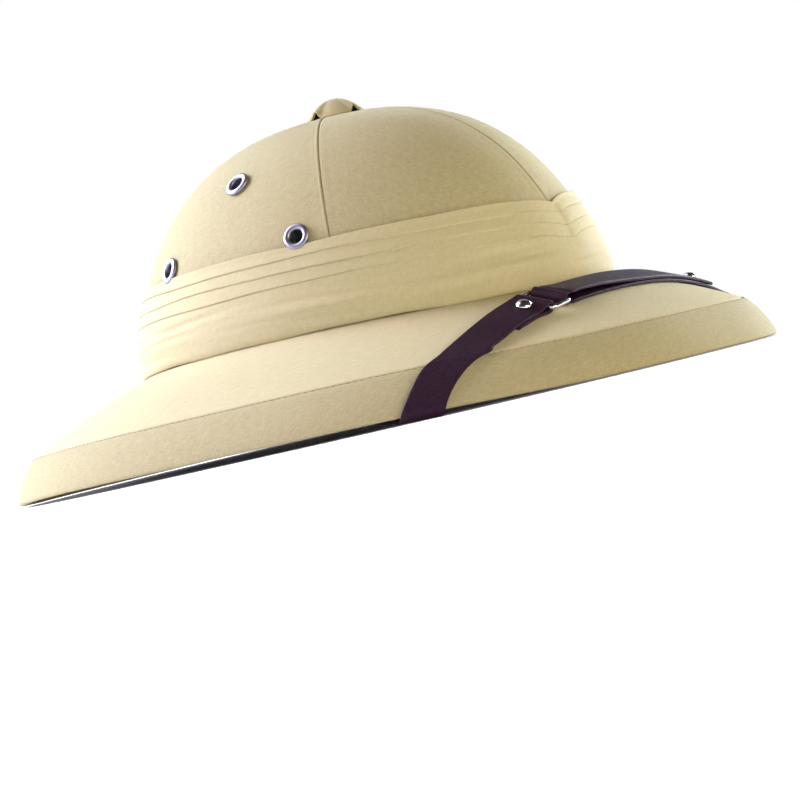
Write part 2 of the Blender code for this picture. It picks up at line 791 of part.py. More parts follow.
def fold_sections(side):
    """The leather turned round the ring's bar on one side, from its upper layer to its lower one."""
    middle, normal, across, along = ring_frame()
    centre = middle + along * (side * RING_HALF_LENGTH)
    reach = across * (STRAP_WIDTH / 2)
    sections = []
    for step in range(7):
        angle = pi / 2 - pi * step / 6
        spoke = along * (-side * cos(angle)) + normal * sin(angle)
        near, far = centre + spoke * FOLD_GAP, centre + spoke * (FOLD_GAP + STRAP)
        sections.append([near - reach, far - reach, far + reach, near + reach])
    return sections


FOLD_GAP = RING_WIRE + GAP
RING_HEIGHT = GAP + STRAP + FOLD_GAP          # ring's middle above the cloth


def build_near_strap(material):
    sections = hidden_run(-1)[::-1] + rim_sections(-1)[::-1]
    sections += [strap_section(*row) for row in NEAR_OUTER]
    sections += fold_sections(-1)
    sections += [turned_over(strap_section(*row)) for row in NEAR_TURN_BACK]
    return strap_solid("strap_near", sections, material)


def build_far_strap(material):
    sections = hidden_run(1)[::-1] + rim_sections(1)[::-1]
    sections += [strap_section(x, GAP, GAP) for x in FAR_LAID]
    sections += [strap_section(row[0], GAP, GAP) for row in FAR_OUTER[::-1]]
    sections += fold_sections(1)[::-1]
    sections += [turned_over(strap_section(*row)) for row in FAR_OUTER]
    return strap_solid("strap_far", sections, material)


def build_ring(material):
    """A chrome ring with a bar for each strap, lying along the brim."""
    centre, normal, across, along = ring_frame()
    half_width = STRAP_WIDTH / 2 + GAP + RING_WIRE
    path = []
    for sign_along, sign_across in ((1, 1), (-1, 1), (-1, -1), (1, -1)):
        reach = (RING_HALF_LENGTH * sign_along, half_width * sign_across)
        first = (reach[0], reach[1] - RING_CORNER * sign_across)
        second = (reach[0] - RING_CORNER * sign_along, reach[1])
        path += [first, second] if sign_along == sign_across else [second, first]
    data = bmesh.new()
    rings = []
    count = len(path)
    for i, (a, b) in enumerate(path):
        before, after = path[i - 1], path[(i + 1) % count]
        tangent = Vector((after[0] - before[0], after[1] - before[1])).normalized()
        side = along * tangent.y - across * tangent.x
        place = centre + along * a + across * b
        ring = []
        for j in range(6):
            angle = 2 * pi * (j + 0.5) / 6
            spoke = side * cos(angle) + normal * sin(angle)
            ring.append(data.verts.new(place + spoke * RING_WIRE))
        rings.append(ring)
    for i, here in enumerate(rings):
        there = rings[(i + 1) % count]
        for j in range(6):
            k = (j + 1) % 6
            data.faces.new((here[j], there[j], there[k], here[k]))
    return finish("strap_ring", data, material)


def turned_solid(name, profile, place, normal, sides, material):
    """Turn an open profile of (radius, height) round the normal, with flat ends."""
    turn = normal.to_track_quat("Z", "Y")
    data = bmesh.new()
    rings = []
    for radius, height in profile:
        ring = []
        for j in range(sides):
            angle = 2 * pi * j / sides
            spot = Vector((radius * cos(angle), radius * sin(angle), height))
            ring.append(data.verts.new(place + turn @ spot))
        rings.append(ring)
    for here, there in zip(rings, rings[1:]):
        for j in range(sides):
            k = (j + 1) % sides
            data.faces.new((here[j], here[k], there[k], there[j]))
    data.faces.new(rings[0][::-1])
    data.faces.new(rings[-1])
    return finish(name, data, material)


def build_rivet(name, rows, strap, material):
    """A domed head on a shank through both layers of leather, square to the outer one at the middle row."""
    before, section, after = [strap_section(*row) for row in rows]
    place, ahead, behind = [(each[0] + each[3]) / 2 for each in (section, after, before)]
    along = (ahead - place).normalized() + (place - behind).normalized()
    normal = along.cross(section[3] - section[0]).normalized()
    if normal.z < 0:
        normal = normal * -1
    top = STRAP + GAP
    foot = -STRAP - GAP
    profile = ((RIVET_SHANK, foot), (RIVET_SHANK, top), (RIVET_HEAD, top),
               (RIVET_HEAD * 0.94, top + RIVET_DOME / 2), (RIVET_HEAD * 0.62, top + RIVET_DOME))
    radius = RIVET_SHANK + GAP
    hole = hole_cutter(f"{name}_hole", place, normal, radius, RIVET_HOLE_DEPTH, top + GAP, PIN_SIDES)
    cut(strap, hole)
    return turned_solid(name, profile, place, normal, RIVET_SIDES, material)


def build_pin(name, mirror, strap, shell, material):
    """The plain pin that holds the strap's end inside the crown."""
    place, _, normal = anchor_frame(mirror)
    seat = -TAB_DEPTH - STRAP / 2 - GAP
    profile = ((PIN_SHANK, PIN_REACH), (PIN_SHANK, seat), (PIN_HEAD, seat),
               (PIN_HEAD * 0.88, seat - PIN_HEAD_DEPTH))
    hole = hole_cutter(f"{name}_hole", place, normal, PIN_SHANK + GAP, PIN_HOLE_DEPTH,
                       PIN_REACH + GAP, PIN_SIDES)
    cut(strap, hole)
    cut(shell["pith_side_right" if mirror < 0 else "pith_side_left"], hole)
    return turned_solid(name, profile, place, normal, PIN_SIDES, material)


def build():
    clear_scene()
    khaki = make_material("khaki_cloth", KHAKI, 0.9)
    wrap = make_material("khaki_wrap", KHAKI_WRAP, 0.9)
    pith = make_material("pith_tan", PITH_TAN, 0.95)
    lining = make_material("white_lining", LINING_WHITE, 0.9)
    leather = make_material("strap_leather", LEATHER, 0.35)
    chrome = make_material("chrome", CHROME, 0.12, 1.0)
    nickel = make_material("nickel", NICKEL, 0.35, 1.0)
    bearings = [Bearing(t) for t in grid_bearings()]
    shell = build_pith_shell(bearings, pith)
    panels = build_crown_panels(bearings, khaki)
    build_brim_cover(bearings, khaki)
    build_rim_binding(bearings, khaki)
    build_brim_lining(bearings, lining)
    puggaree = build_puggaree(bearings, wrap)
    build_vent_cap(khaki)
    bpy.context.view_layer.update()
    build_eyelets(panels, shell, puggaree, nickel)
    near, far = build_near_strap(leather), build_far_strap(leather)
    build_ring(chrome)
    build_rivet("rivet_near", NEAR_OUTER[-3:], near, chrome)
    build_rivet("rivet_far", FAR_OUTER[-3:], far, chrome)
    build_pin("strap_pin_right", -1, near, shell, nickel)
    build_pin("strap_pin_left", 1, far, shell, nickel)
    bpy.context.view_layer.update()


build()
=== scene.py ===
import math

import bpy
import numpy as np
from mathutils import Matrix, Quaternion, Vector


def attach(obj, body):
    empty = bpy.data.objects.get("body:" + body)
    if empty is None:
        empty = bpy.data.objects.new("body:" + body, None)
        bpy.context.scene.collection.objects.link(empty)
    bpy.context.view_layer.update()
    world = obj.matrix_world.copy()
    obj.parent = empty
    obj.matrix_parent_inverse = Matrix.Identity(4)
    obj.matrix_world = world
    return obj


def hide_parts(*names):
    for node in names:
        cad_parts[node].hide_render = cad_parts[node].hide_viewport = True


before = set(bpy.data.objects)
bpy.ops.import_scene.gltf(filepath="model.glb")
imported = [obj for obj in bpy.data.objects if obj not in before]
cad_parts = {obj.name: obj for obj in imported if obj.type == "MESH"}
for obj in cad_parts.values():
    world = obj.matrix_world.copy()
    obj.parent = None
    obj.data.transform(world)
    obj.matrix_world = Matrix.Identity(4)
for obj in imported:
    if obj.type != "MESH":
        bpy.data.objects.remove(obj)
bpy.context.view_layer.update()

# ---- the hat's own shape, front at -Y, resting on its rim
hat = {
    "rimHalfLength": 0.172, "rimHalfWidth": 0.145, "rimSquareness": 2.35,
    "sideLift": 0.003, "flatArc": 25.5,
    # the turned-down band's section as inset and height: lower edge, two handles, stitching
    "band": ((0, 0), (0.0002, 0.0050), (0.0076, 0.0166), (0.0108, 0.0182)),
    "crownHalfLength": 0.1087, "crownHalfWidth": 0.0908, "crownMiddleY": -0.002,
    "crownBase": 0.0416, "crownBaseSideLift": 0.0043,
    "domeHeight": 0.095, "domeRoundness": 0.80, "domeRise": 1.10,
    "brimCamber": 0.0018,
    "cloth": 0.0010, "gap": 0.0003,
    "sideSeam": 66.0, "ventEdge": 88.0,
}


def smoothStep(value):
    value = np.clip(value, 0, 1)
    return value * value * (3 - 2 * value)


def bell(value):
    return np.exp(-value ** 2)


def unit(vectors):
    return vectors / np.linalg.norm(vectors, axis=-1, keepdims=True)


def halfTurn(angle):
    # the same direction, from minus to plus half a turn
    return (angle + np.pi) % (2 * np.pi) - np.pi


def rimPoint(t):
    power = hat["rimSquareness"]
    size = (np.abs(np.sin(t)) ** power + np.abs(np.cos(t)) ** power) ** (-1 / power)
    flat = math.sin(math.radians(hat["flatArc"]))
    lift = hat["sideLift"] * smoothStep((np.abs(np.sin(t)) - flat) / (1 - flat))
    across, along = hat["rimHalfWidth"] * size * np.sin(t), -hat["rimHalfLength"] * size * np.cos(t)
    return np.stack([across, along, lift], -1)


def rimOut(t):
    along = rimPoint(t + 1e-3) - rimPoint(t - 1e-3)
    out = np.stack([along[..., 1], -along[..., 0], 0 * along[..., 0]], -1)
    return unit(out)


def rimSection(t, inset, height):
    point = rimPoint(t) - rimOut(t) * np.asarray(inset)[..., None]
    point[..., 2] += height
    return point


def bandSection(share):
    rest = 1 - share
    weights = (rest ** 3, 3 * rest ** 2 * share, 3 * rest * share ** 2, share ** 3)
    return [sum(w * handle[i] for w, handle in zip(weights, hat["band"])) for i in (0, 1)]


def bandPoint(t, share):  # 0 at the lower edge, 1 at the stitching
    inset, height = bandSection(share + 0 * t)
    return rimSection(t, inset, height)


def domePoint(t, elevation):  # elevation in degrees, 0 at the crown's base
    angle = np.radians(np.maximum(elevation, 0))
    shrink = np.cos(angle) ** hat["domeRoundness"]
    rise = np.sin(angle) ** hat["domeRise"]
    lift = hat["crownBaseSideLift"] * np.sin(t) ** 2 * (1 - rise)
    return np.stack([
        hat["crownHalfWidth"] * shrink * np.sin(t),
        hat["crownMiddleY"] - hat["crownHalfLength"] * shrink * np.cos(t),
        hat["crownBase"] + hat["domeHeight"] * rise + lift,
    ], -1)


def brimPoint(t, inward):  # 0 at the stitching, 1 at the crown
    outer, inner = bandPoint(t, 1.0), domePoint(t, 0.0 * t)
    share = np.asarray(inward + 0 * t)
    point = outer + (inner - outer) * share[..., None]
    point[..., 2] += hat["brimCamber"] * np.sin(np.pi * share) * (1 - 0.5 * share)
    return point


def surfaceNormal(surface, t, s, step):
    around = surface(t + 1e-3, s) - surface(t - 1e-3, s)
    up = surface(t, s + step) - surface(t, np.maximum(s - step, 0))
    return unit(np.cross(around, up))


def standOff(surface, t, s, distance, step=1e-3):
    s = np.asarray(s + 0 * t)
    return surface(t, s) + surfaceNormal(surface, t, s, step) * np.asarray(distance + 0 * t)[..., None]


def onCrown(t, elevation, distance):
    return standOff(domePoint, t, elevation, distance, 0.05)


# ---- modelling by hand: rings, sheets and turned pieces
def deselectAll():
    if bpy.context.mode != "OBJECT":
        bpy.ops.object.mode_set(mode="OBJECT")
    bpy.ops.object.select_all(action="DESELECT")


def makeActive(piece):
    deselectAll()
    piece.select_set(True)
    bpy.context.view_layer.objects.active = piece


def newPiece(name):
    # the primitive that was just added
    piece = bpy.context.object
    piece.name = piece.data.name = name
    return piece


def editAll():
    bpy.ops.object.mode_set(mode="EDIT")
    bpy.ops.mesh.select_mode(type="VERT")
    bpy.ops.mesh.select_all(action="SELECT")


def editChosen(piece, elements, chosen, kind):
    # into edit mode with only the chosen vertices or faces selected
    makeActive(piece)
    bpy.ops.object.mode_set(mode="EDIT")
    bpy.ops.mesh.select_mode(type=kind)
    bpy.ops.mesh.select_all(action="DESELECT")
    bpy.ops.object.mode_set(mode="OBJECT")
    elements.foreach_set("select", chosen)
    bpy.ops.object.mode_set(mode="EDIT")


def leaveEdit():
    bpy.ops.object.mode_set(mode="OBJECT")


def applyModifier(piece, kind, **settings):
    makeActive(piece)
    modifier = piece.modifiers.new(kind.lower(), kind)
    for key, value in settings.items():
        setattr(modifier, key, value)
    bpy.ops.object.modifier_apply(modifier=modifier.name)


def readArray(elements, key, kind=float, width=1):
    values = np.empty(len(elements) * width, dtype=kind)
    elements.foreach_get(key, values)
    return values.reshape(-1, width) if width > 1 else values


def setVertices(piece, places):
    piece.data.vertices.foreach_set("co", np.ascontiguousarray(places).ravel())
    piece.data.update()


def spacedAngles(count, seams=(), reach=0.0, fine=0):
    # even steps round the hat, with more of them beside each seam
    near = []
    for seam in seams:
        steps = np.linspace(-1, 1, 2 * fine + 1)
        near.append(math.radians(seam) + math.radians(reach) * np.sign(steps) * np.abs(steps) ** 1.7)
    even = np.linspace(0, 2 * np.pi, count, endpoint=False)
    for group in near:
        middle = (group[0] + group[-1]) / 2
        half = (group[-1] - group[0]) / 2 + 1.2 * math.pi / count
        even = even[np.abs(halfTurn(even - middle)) > half]
    return np.sort(np.concatenate([even] + near) % (2 * np.pi))


def selectOpenEdges():
    bpy.ops.mesh.select_mode(type="EDGE")
    bpy.ops.mesh.select_all(action="DESELECT")
    bpy.ops.mesh.select_non_manifold(extend=False, use_boundary=True, use_wire=False, use_multi_face=False,
                                     use_non_contiguous=False, use_verts=False)


def ringStack(name, angles, rings, closed=False):
    # a circle is extruded and resized from ring to ring, then its vertices settle on the rings
    count = len(angles)
    deselectAll()
    bpy.ops.mesh.primitive_circle_add(vertices=count, radius=1, location=(0, 0, 0), fill_type="NOTHING")
    piece = newPiece(name)
    editAll()
    size, middle = (1.0, 1.0), Vector((0, 0, 0))
    for i, ring in enumerate(rings):
        low, high = ring.min(0), ring.max(0)
        newMiddle = Vector((0, (low[1] + high[1]) / 2, (low[2] + high[2]) / 2))
        newSize = ((high[0] - low[0]) / 2, (high[1] - low[1]) / 2)
        if i == 0:
            bpy.ops.transform.translate(value=newMiddle - middle)
        else:
            bpy.ops.mesh.extrude_region_move(TRANSFORM_OT_translate={"value": newMiddle - middle})
        scale = (newSize[0] / size[0], newSize[1] / size[1], 1)
        bpy.ops.transform.resize(value=scale, center_override=newMiddle)
        size, middle = newSize, newMiddle
    if closed:
        selectOpenEdges()
        bpy.ops.mesh.bridge_edge_loops()
    leaveEdit()
    rough = readArray(piece.data.vertices, "co", width=3)
    settled = np.empty_like(rough)
    for i, ring in enumerate(rings):
        part = rough[i * count:(i + 1) * count]
        middleY = (ring[:, 1].min() + ring[:, 1].max()) / 2
        halfLength = (ring[:, 1].max() - ring[:, 1].min()) / 2
        turn = np.arctan2(part[:, 0] / np.abs(ring[:, 0]).max(), -(part[:, 1] - middleY) / halfLength)
        order = np.rint(turn / (2 * np.pi) * count).astype(int) % count
        settled[i * count:(i + 1) * count] = ring[order]
        if i == 0:
            firstOrder = order
    setVertices(piece, settled)
    return piece, np.tile(angles[firstOrder], len(rings)), np.repeat(np.arange(len(rings)), count)


def weaveMap(piece, turns, along, up, panels=((0, 360),)):
    # the cloth's own flat layout, in metres: along the ring from the panel's middle, and up
    mesh = piece.data
    uv = mesh.uv_layers.new(name="cloth")
    loopVertex = readArray(mesh.loops, "vertex_index", int)
    starts = readArray(mesh.polygons, "loop_start", int)
    loopFace = np.repeat(np.arange(len(starts)), readArray(mesh.polygons, "loop_total", int))
    faceTurn = np.angle(np.add.reduceat(np.exp(1j * turns[loopVertex]), starts)) % (2 * np.pi)
    middles = np.zeros(len(starts))
    for first, last in panels:
        inside = (faceTurn >= math.radians(first)) & (faceTurn < math.radians(last))
        middles[inside] = math.radians((first + last) / 2)
    turn = turns[loopVertex]
    turn = faceTurn[loopFace] + halfTurn(turn - faceTurn[loopFace])
    places = np.stack([(turn - middles[loopFace]) * along[loopVertex], up[loopVertex]], -1)
    uv.data.foreach_set("uv", places.astype(np.float32).ravel())


def rowLengths(rings):
    # how far up the cloth each ring lies
    steps = np.linalg.norm(np.diff(rings, axis=0), axis=2).mean(1)
    return np.concatenate([[0], np.cumsum(steps)])


def ringRadius(ring):
    # the mean radius, which turns an angle into a length
    loop = np.linalg.norm(ring - np.roll(ring, 1, axis=0), axis=1).sum()
    return loop / (2 * np.pi)


def clothRings(name, angles, rings, panels=((0, 360),)):
    # an open sheet on the rings, with its flat layout
    piece, turns, rows = ringStack(name, angles, rings)
    heights = rowLengths(np.array(rings))
    radii = np.array([ringRadius(ring) for ring in rings])
    weaveMap(piece, turns, radii[rows], heights[rows], panels)
    return piece


def thicken(piece, thickness):
    # the sheets face inwards, so the wall grows into the hat
    applyModifier(piece, "SOLIDIFY", thickness=thickness, offset=1.0, use_even_offset=False)
    piece.data.shade_smooth()


def cutOf(piece):
    # the cloth's flat size and area, taken before it gets its thickness
    width, length = np.ptp(readArray(piece.data.uv_layers["cloth"].data, "uv", width=2), axis=0)
    area = sum(face.area for face in piece.data.polygons)
    return {"flat": (float(width), float(length)), "area": min(area, float(width * length))}


def dress(piece, material, *nodes, slot=None):
    piece.data.materials.clear()
    for each in (material if isinstance(material, (list, tuple)) else [material]):
        piece.data.materials.append(each)
    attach(piece, "root")
    if nodes:
        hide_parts(*nodes)


def sewn(piece, material, node, slot, thickness=hat["cloth"]):
    # a sheet gets its thickness, material and node; returns its flat cut
    cut = cutOf(piece)
    thicken(piece, thickness)
    dress(piece, materials[material], node, slot=slot)
    return cut


def spun(name, profile, place, turn, steps):
    # a profile of (radius, height) spun about its axis, then set on its place
    deselectAll()
    bpy.ops.mesh.primitive_circle_add(vertices=len(profile), radius=0.01, fill_type="NOTHING")
    piece = newPiece(name)
    setVertices(piece, np.array([(radius, 0, height) for radius, height in profile]))
    editAll()
    bpy.ops.mesh.spin(steps=steps, angle=2 * math.pi, center=(0, 0, 0), axis=(0, 0, 1))
    bpy.ops.mesh.select_all(action="SELECT")
    bpy.ops.mesh.remove_doubles(threshold=1e-6)
    bpy.ops.mesh.delete_loose()
    bpy.ops.mesh.select_all(action="SELECT")
    bpy.ops.mesh.normals_make_consistent(inside=False)
    leaveEdit()
    piece.data.transform(Matrix.Translation(place) @ turn.to_matrix().to_4x4())
    piece.data.shade_smooth()
    return piece


def rolledGrid(name, places, uv=None, slots=None):
    # a flat grid takes its places, is joined where its sides meet, and its open ends are filled
    rows, columns = places.shape[:2]
    deselectAll()
    bpy.ops.mesh.primitive_grid_add(x_subdivisions=columns - 1, y_subdivisions=rows - 1, size=1)
    piece = newPiece(name)
    flat = readArray(piece.data.vertices, "co", width=3)
    column = np.rint((flat[:, 0] + 0.5) * (columns - 1)).astype(int)
    row = np.rint((flat[:, 1] + 0.5) * (rows - 1)).astype(int)
    setVertices(piece, places[row, column])
    mesh = piece.data
    while mesh.uv_layers:
        mesh.uv_layers.remove(mesh.uv_layers[0])
    loopVertex = readArray(mesh.loops, "vertex_index", int)
    if uv is not None:
        layout = mesh.uv_layers.new(name="cloth")
        layout.data.foreach_set("uv", uv[row, column][loopVertex].astype(np.float32).ravel())
    if slots is not None:
        corners = loopVertex.reshape(-1, 4)
        faceSlots = slots[row[corners].min(1), column[corners].min(1)]
        mesh.polygons.foreach_set("material_index", faceSlots.astype(np.int32))
    editAll()
    bpy.ops.mesh.remove_doubles(threshold=1e-6)
    selectOpenEdges()
    bpy.ops.mesh.fill_holes(sides=0)
    bpy.ops.mesh.select_all(action="SELECT")
    bpy.ops.mesh.normals_make_consistent(inside=False)
    leaveEdit()
    piece.data.shade_smooth()
    return piece


# ---- shader maths
class Wire:
    # a node's output; the usual operators add Math nodes
    def __init__(self, tree, socket):
        self.tree = tree
        self.socket = socket

    def node(self, kind, settings=None, sockets=None, output=0):
        made = self.tree.nodes.new(kind)
        for key, value in (settings or {}).items():
            setattr(made, key, value)
        for key, value in (sockets or {}).items():
            if isinstance(value, Wire):
                self.tree.links.new(value.socket, made.inputs[key])
            else:
                made.inputs[key].default_value = value
        return Wire(self.tree, made.outputs[output])

    def maths(self, operation, *values):
        return self.node("ShaderNodeMath", {"operation": operation}, dict(enumerate(values)))

    def __add__(self, other):
        return self.maths("ADD", self, other)

    def __radd__(self, other):
        return self.maths("ADD", other, self)

    def __sub__(self, other):
        return self.maths("SUBTRACT", self, other)

    def __rsub__(self, other):
        return self.maths("SUBTRACT", other, self)

    def __mul__(self, other):
        return self.maths("MULTIPLY", self, other)

    def __rmul__(self, other):
        return self.maths("MULTIPLY", other, self)

    def wave(self, period):
        # 0 to 1 and back over each period
        return self.maths("SINE", self * (2 * math.pi / period)) * 0.5 + 0.5

    def between(self, low, high):
        return self.node("ShaderNodeMapRange", {"interpolation_type": "SMOOTHSTEP"},
                         {0: self, 1: low, 2: high, 3: 0.0, 4: 1.0})

    def mixColour(self, first, second):
        # this wire is the factor
        return self.node("ShaderNodeMix", {"data_type": "RGBA"},
                         {0: self, 6: first, 7: second}, output=2)


def newMaterial(name, roughness=0.8, **constants):
    material = bpy.data.materials.new(name)
    material.use_nodes = True
    tree = material.node_tree
    shader = tree.nodes["Principled BSDF"]
    shader.inputs["Roughness"].default_value = roughness
    for key, value in constants.items():
        shader.inputs[key].default_value = value
    return material, tree, shader


def feed(tree, shader, wires):
    for key, wire in wires.items():
        tree.links.new(wire.socket, shader.inputs[key])


def rgb(red, green, blue):
    return (red, green, blue, 1.0)


def objectPlace(tree):
    return Wire(tree, tree.nodes.new("ShaderNodeTexCoord").outputs["Object"])


def clothPlace(tree):
    made = tree.nodes.new("ShaderNodeUVMap")
    made.uv_map = "cloth"
    return Wire(tree, made.outputs[0])


def split(place):
    made = place.tree.nodes.new("ShaderNodeSeparateXYZ")
    place.tree.links.new(place.socket, made.inputs[0])
    return [Wire(place.tree, made.outputs[i]) for i in range(3)]


def noise(place, scale, detail=2.0, roughness=0.5):
    return place.node("ShaderNodeTexNoise", {"noise_dimensions": "3D"},
                      {"Vector": place, "Scale": scale, "Detail": detail, "Roughness": roughness})


def stretched(place, factors):
    return place.node("ShaderNodeVectorMath", {"operation": "MULTIPLY"}, {0: place, 1: factors})


def bump(height, strength, distance, normal=None):
    sockets = {"Height": height, "Strength": strength, "Distance": distance}
    if normal is not None:
        sockets["Normal"] = normal
    return height.node("ShaderNodeBump", None, sockets)


def clothMaterial(name, light, dark, cloth, roughness=0.85):
    material, tree, shader = newMaterial(name, roughness, **{"Sheen Weight": 0.10, "Sheen Roughness": 0.45,
                                                             "Specular IOR Level": 0.2})
    weave = clothPlace(tree)
    across, up, _ = split(weave)
    pitch, slope = cloth["pitch"], cloth["slope"]
    wander = noise(weave, 420.0, 2.0) * (0.5 * pitch)
    if slope:
        ribs = (across + up * slope + wander).wave(pitch)
        threads = (across - up * slope + wander).wave(pitch * 0.55)
    else:
        ribs = (across + wander).wave(pitch)
        threads = (up + wander).wave(pitch)
    pattern = ribs * 0.68 + threads * 0.32
    slubs = noise(weave, 1500.0, 3.0, 0.65)
    # thicker yarns run both ways, and the cloth is softly mottled
    warp = noise(stretched(weave, (1.0, 0.16, 1.0)), 1500.0)
    weft = noise(stretched(weave, (0.16, 1.0, 1.0)), 1600.0)
    patches = noise(objectPlace(tree), 14.0, 4.0, 0.6)
    mottle = noise(weave, 420.0, 3.0, 0.6)
    yarns = warp + weft
    tone = pattern * 0.60 + slubs * 0.50 + (yarns - 1.0) * 1.00
    tone = tone + (mottle - 0.5) * 0.40 + patches * 0.42 - 0.26
    colour = tone.mixColour(rgb(*dark), rgb(*light))
    relief = bump(patches, 0.12, 0.0016)
    relief = bump(pattern * 0.8 + slubs * 0.5 + yarns * 0.3, 0.6, cloth["depth"], relief)
    dullness = tone * 0.12 + (roughness - 0.06)
    feed(tree, shader, {"Base Color": colour, "Normal": relief, "Roughness": dullness})
    return material


def leatherMaterial(name, light, dark, roughness, grain):
    material, tree, shader = newMaterial(name, roughness, **{"Specular IOR Level": 0.16})
    hide = clothPlace(tree)
    pores = hide.node("ShaderNodeTexVoronoi", {"feature": "DISTANCE_TO_EDGE"},
                      {"Vector": hide, "Scale": 1500.0})
    pebbles = pores.between(0.02, 0.32)
    creases = noise(hide, 260.0, 4.0, 0.6)
    wear = noise(objectPlace(tree), 60.0, 3.0, 0.6)
    tone = pebbles * 0.35 + creases * 0.35 + wear * 0.40 - 0.10
    relief = bump(pebbles * 0.6 + creases * 0.7, 0.7, grain)
    feed(tree, shader, {"Base Color": tone.mixColour(rgb(*dark), rgb(*light)), "Normal": relief,
                        "Roughness": roughness - 0.08 + creases * 0.16 + pebbles * 0.06})
    return material


def metalMaterial(name, light, dark, roughness, scratches):
    material, tree, shader = newMaterial(name, roughness, Metallic=1.0)
    place = objectPlace(tree)
    smears = noise(place, 240.0, 3.0, 0.6)
    scuffs = noise(place, 2600.0, 2.0, 0.7)
    relief = bump(scuffs * 0.6 + smears, 0.25, scratches)
    feed(tree, shader, {"Base Color": smears.mixColour(rgb(*dark), rgb(*light)), "Normal": relief,
                        "Roughness": roughness + (smears - 0.5) * 0.14})
    return material


def crumbMaterial(name, light, dark, scale, depth, roughness):
    # pressed pith and thread, and the painted shade inside the vent: mottled and matt
    material, tree, shader = newMaterial(name, roughness, **{"Specular IOR Level": 0.2})
    place = objectPlace(tree)
    crumbs = noise(place, scale, 5.0, 0.65)
    mottle = noise(place, scale * 0.08, 3.0, 0.5)
    relief = bump(crumbs, 0.6, depth)
    feed(tree, shader, {"Base Color": (crumbs * 0.6 + mottle * 0.4).mixColour(rgb(*dark), rgb(*light)),
                        "Normal": relief, "Roughness": roughness - 0.05 + crumbs * 0.1})
    return material


# slope of the ribs (-1 rises to the right, 0 is a plain weave), pitch of the threads, depth
twill = {"slope": -1.0, "pitch": 0.00062, "depth": 0.00016}
fineCotton = {"slope": 0.0, "pitch": 0.00046, "depth": 0.00010}
liningWeave = {"slope": 0.0, "pitch": 0.00050, "depth": 0.00008}
materials = {
    # light and dark tone, weave
    "crown": clothMaterial("crownTwill", (0.452, 0.402, 0.232), (0.318, 0.283, 0.152), twill),
    # painted light: the brim cover's twill is the crown's twill made lighter, a painted highlight on the
    # brim's upward face
    "brim": clothMaterial("brimTwillPaintedLight", (0.610, 0.555, 0.340), (0.450, 0.410, 0.240), twill),
    "wrap": clothMaterial("wrapCotton", (0.520, 0.470, 0.282), (0.415, 0.371, 0.210), fineCotton),
    "lining": clothMaterial("liningCotton", (0.640, 0.635, 0.740), (0.530, 0.525, 0.640), liningWeave),
    # tones, roughness, depth of the grain or the scratches
    "leather": leatherMaterial("strapLeather", (0.031, 0.007, 0.030), (0.011, 0.002, 0.009), 0.54, 0.00020),
    "flesh": leatherMaterial("strapInside", (0.085, 0.085, 0.150), (0.040, 0.040, 0.080), 0.75, 0.00010),
    "cutEdge": leatherMaterial("strapEdge", (0.42, 0.32, 0.44), (0.20, 0.13, 0.20), 0.60, 0.00008),
    "chrome": metalMaterial("chromePlate", (0.90, 0.90, 0.94), (0.76, 0.76, 0.80), 0.24, 0.00002),
    "nickel": metalMaterial("nickelPlate", (0.36, 0.36, 0.42), (0.25, 0.25, 0.31), 0.44, 0.00003),
    # tones, scale and depth of the crumb, roughness
    # painted shade: near-black crumb for the ring inside the vent, where only shade falls
    "ventShade": crumbMaterial("capPaintedShade", (0.022, 0.020, 0.016), (0.008, 0.008, 0.007), 1200.0, 0.00010, 0.9),
    "pith": crumbMaterial("rawPith", (0.56, 0.46, 0.31), (0.38, 0.30, 0.18), 900.0, 0.00040, 0.95),
    "thread": crumbMaterial("sewingThread", (0.40, 0.36, 0.22), (0.27, 0.24, 0.14), 4000.0, 0.00008, 0.85),
}

# ---- where the eyelets go
eyelet = {
    "bearing": 97.1, "spread": 22.7, "lowZ": 0.0852, "highZ": 0.1139,
    "bore": 0.0031, "flange": 0.00585, "roll": 0.0018, "wall": 0.0045, "metal": 0.0004,
    "flangeLift": 0.0005, "holeRadius": 0.0037, "patchRadius": 0.0044, "steps": 56,
    # the tail rolled over inside the wall: out from the bore, and up from the wall's inner side
    "tail": ((0, -0.0002), (0.0003, -0.00112), (0.0010, -0.0014), (0.0015, -0.00098),
             (0.0010, -0.0003), (0.0004, 0)),
}


def crownElevation(t, z):
    low, high = 0.0, 80.0
    for _ in range(40):
        middle = (low + high) / 2
        if domePoint(np.array(t), np.array(middle))[2] < z:
            low = middle
        else:
            high = middle
    return low


def eyeletPlaces():
    # name, place and outward direction of each
    spots = (("front", -eyelet["spread"], eyelet["lowZ"]), ("top", 0.0, eyelet["highZ"]),
             ("rear", eyelet["spread"], eyelet["lowZ"]))
    for side, mirror in (("right", -1), ("left", 1)):
        for spot, turn, z in spots:
            t = np.array(mirror * math.radians(eyelet["bearing"] + turn))
            elevation = np.array(crownElevation(t, z))
            normal = surfaceNormal(domePoint, t, elevation, 0.05)
            yield f"eyelet_{side}_{spot}", Vector(domePoint(t, elevation)), Vector(normal)


def punchHole(sheet, place):
    # the cloth is made finer under the eyelet's flange, cut out, and the hole's edge is rounded
    for reach, cuts in ((eyelet["patchRadius"], 2), (eyelet["holeRadius"], 0)):
        faces = sheet.data.polygons
        editChosen(sheet, faces, [(face.center - place).length < reach for face in faces], "FACE")
        if cuts:
            bpy.ops.mesh.subdivide(number_cuts=cuts)
        else:
            bpy.ops.mesh.delete(type="FACE")
        leaveEdit()
    for vertex in sheet.data.vertices:
        away = vertex.co - place
        if away.length < eyelet["holeRadius"]:
            vertex.co = place + away.normalized() * eyelet["holeRadius"]


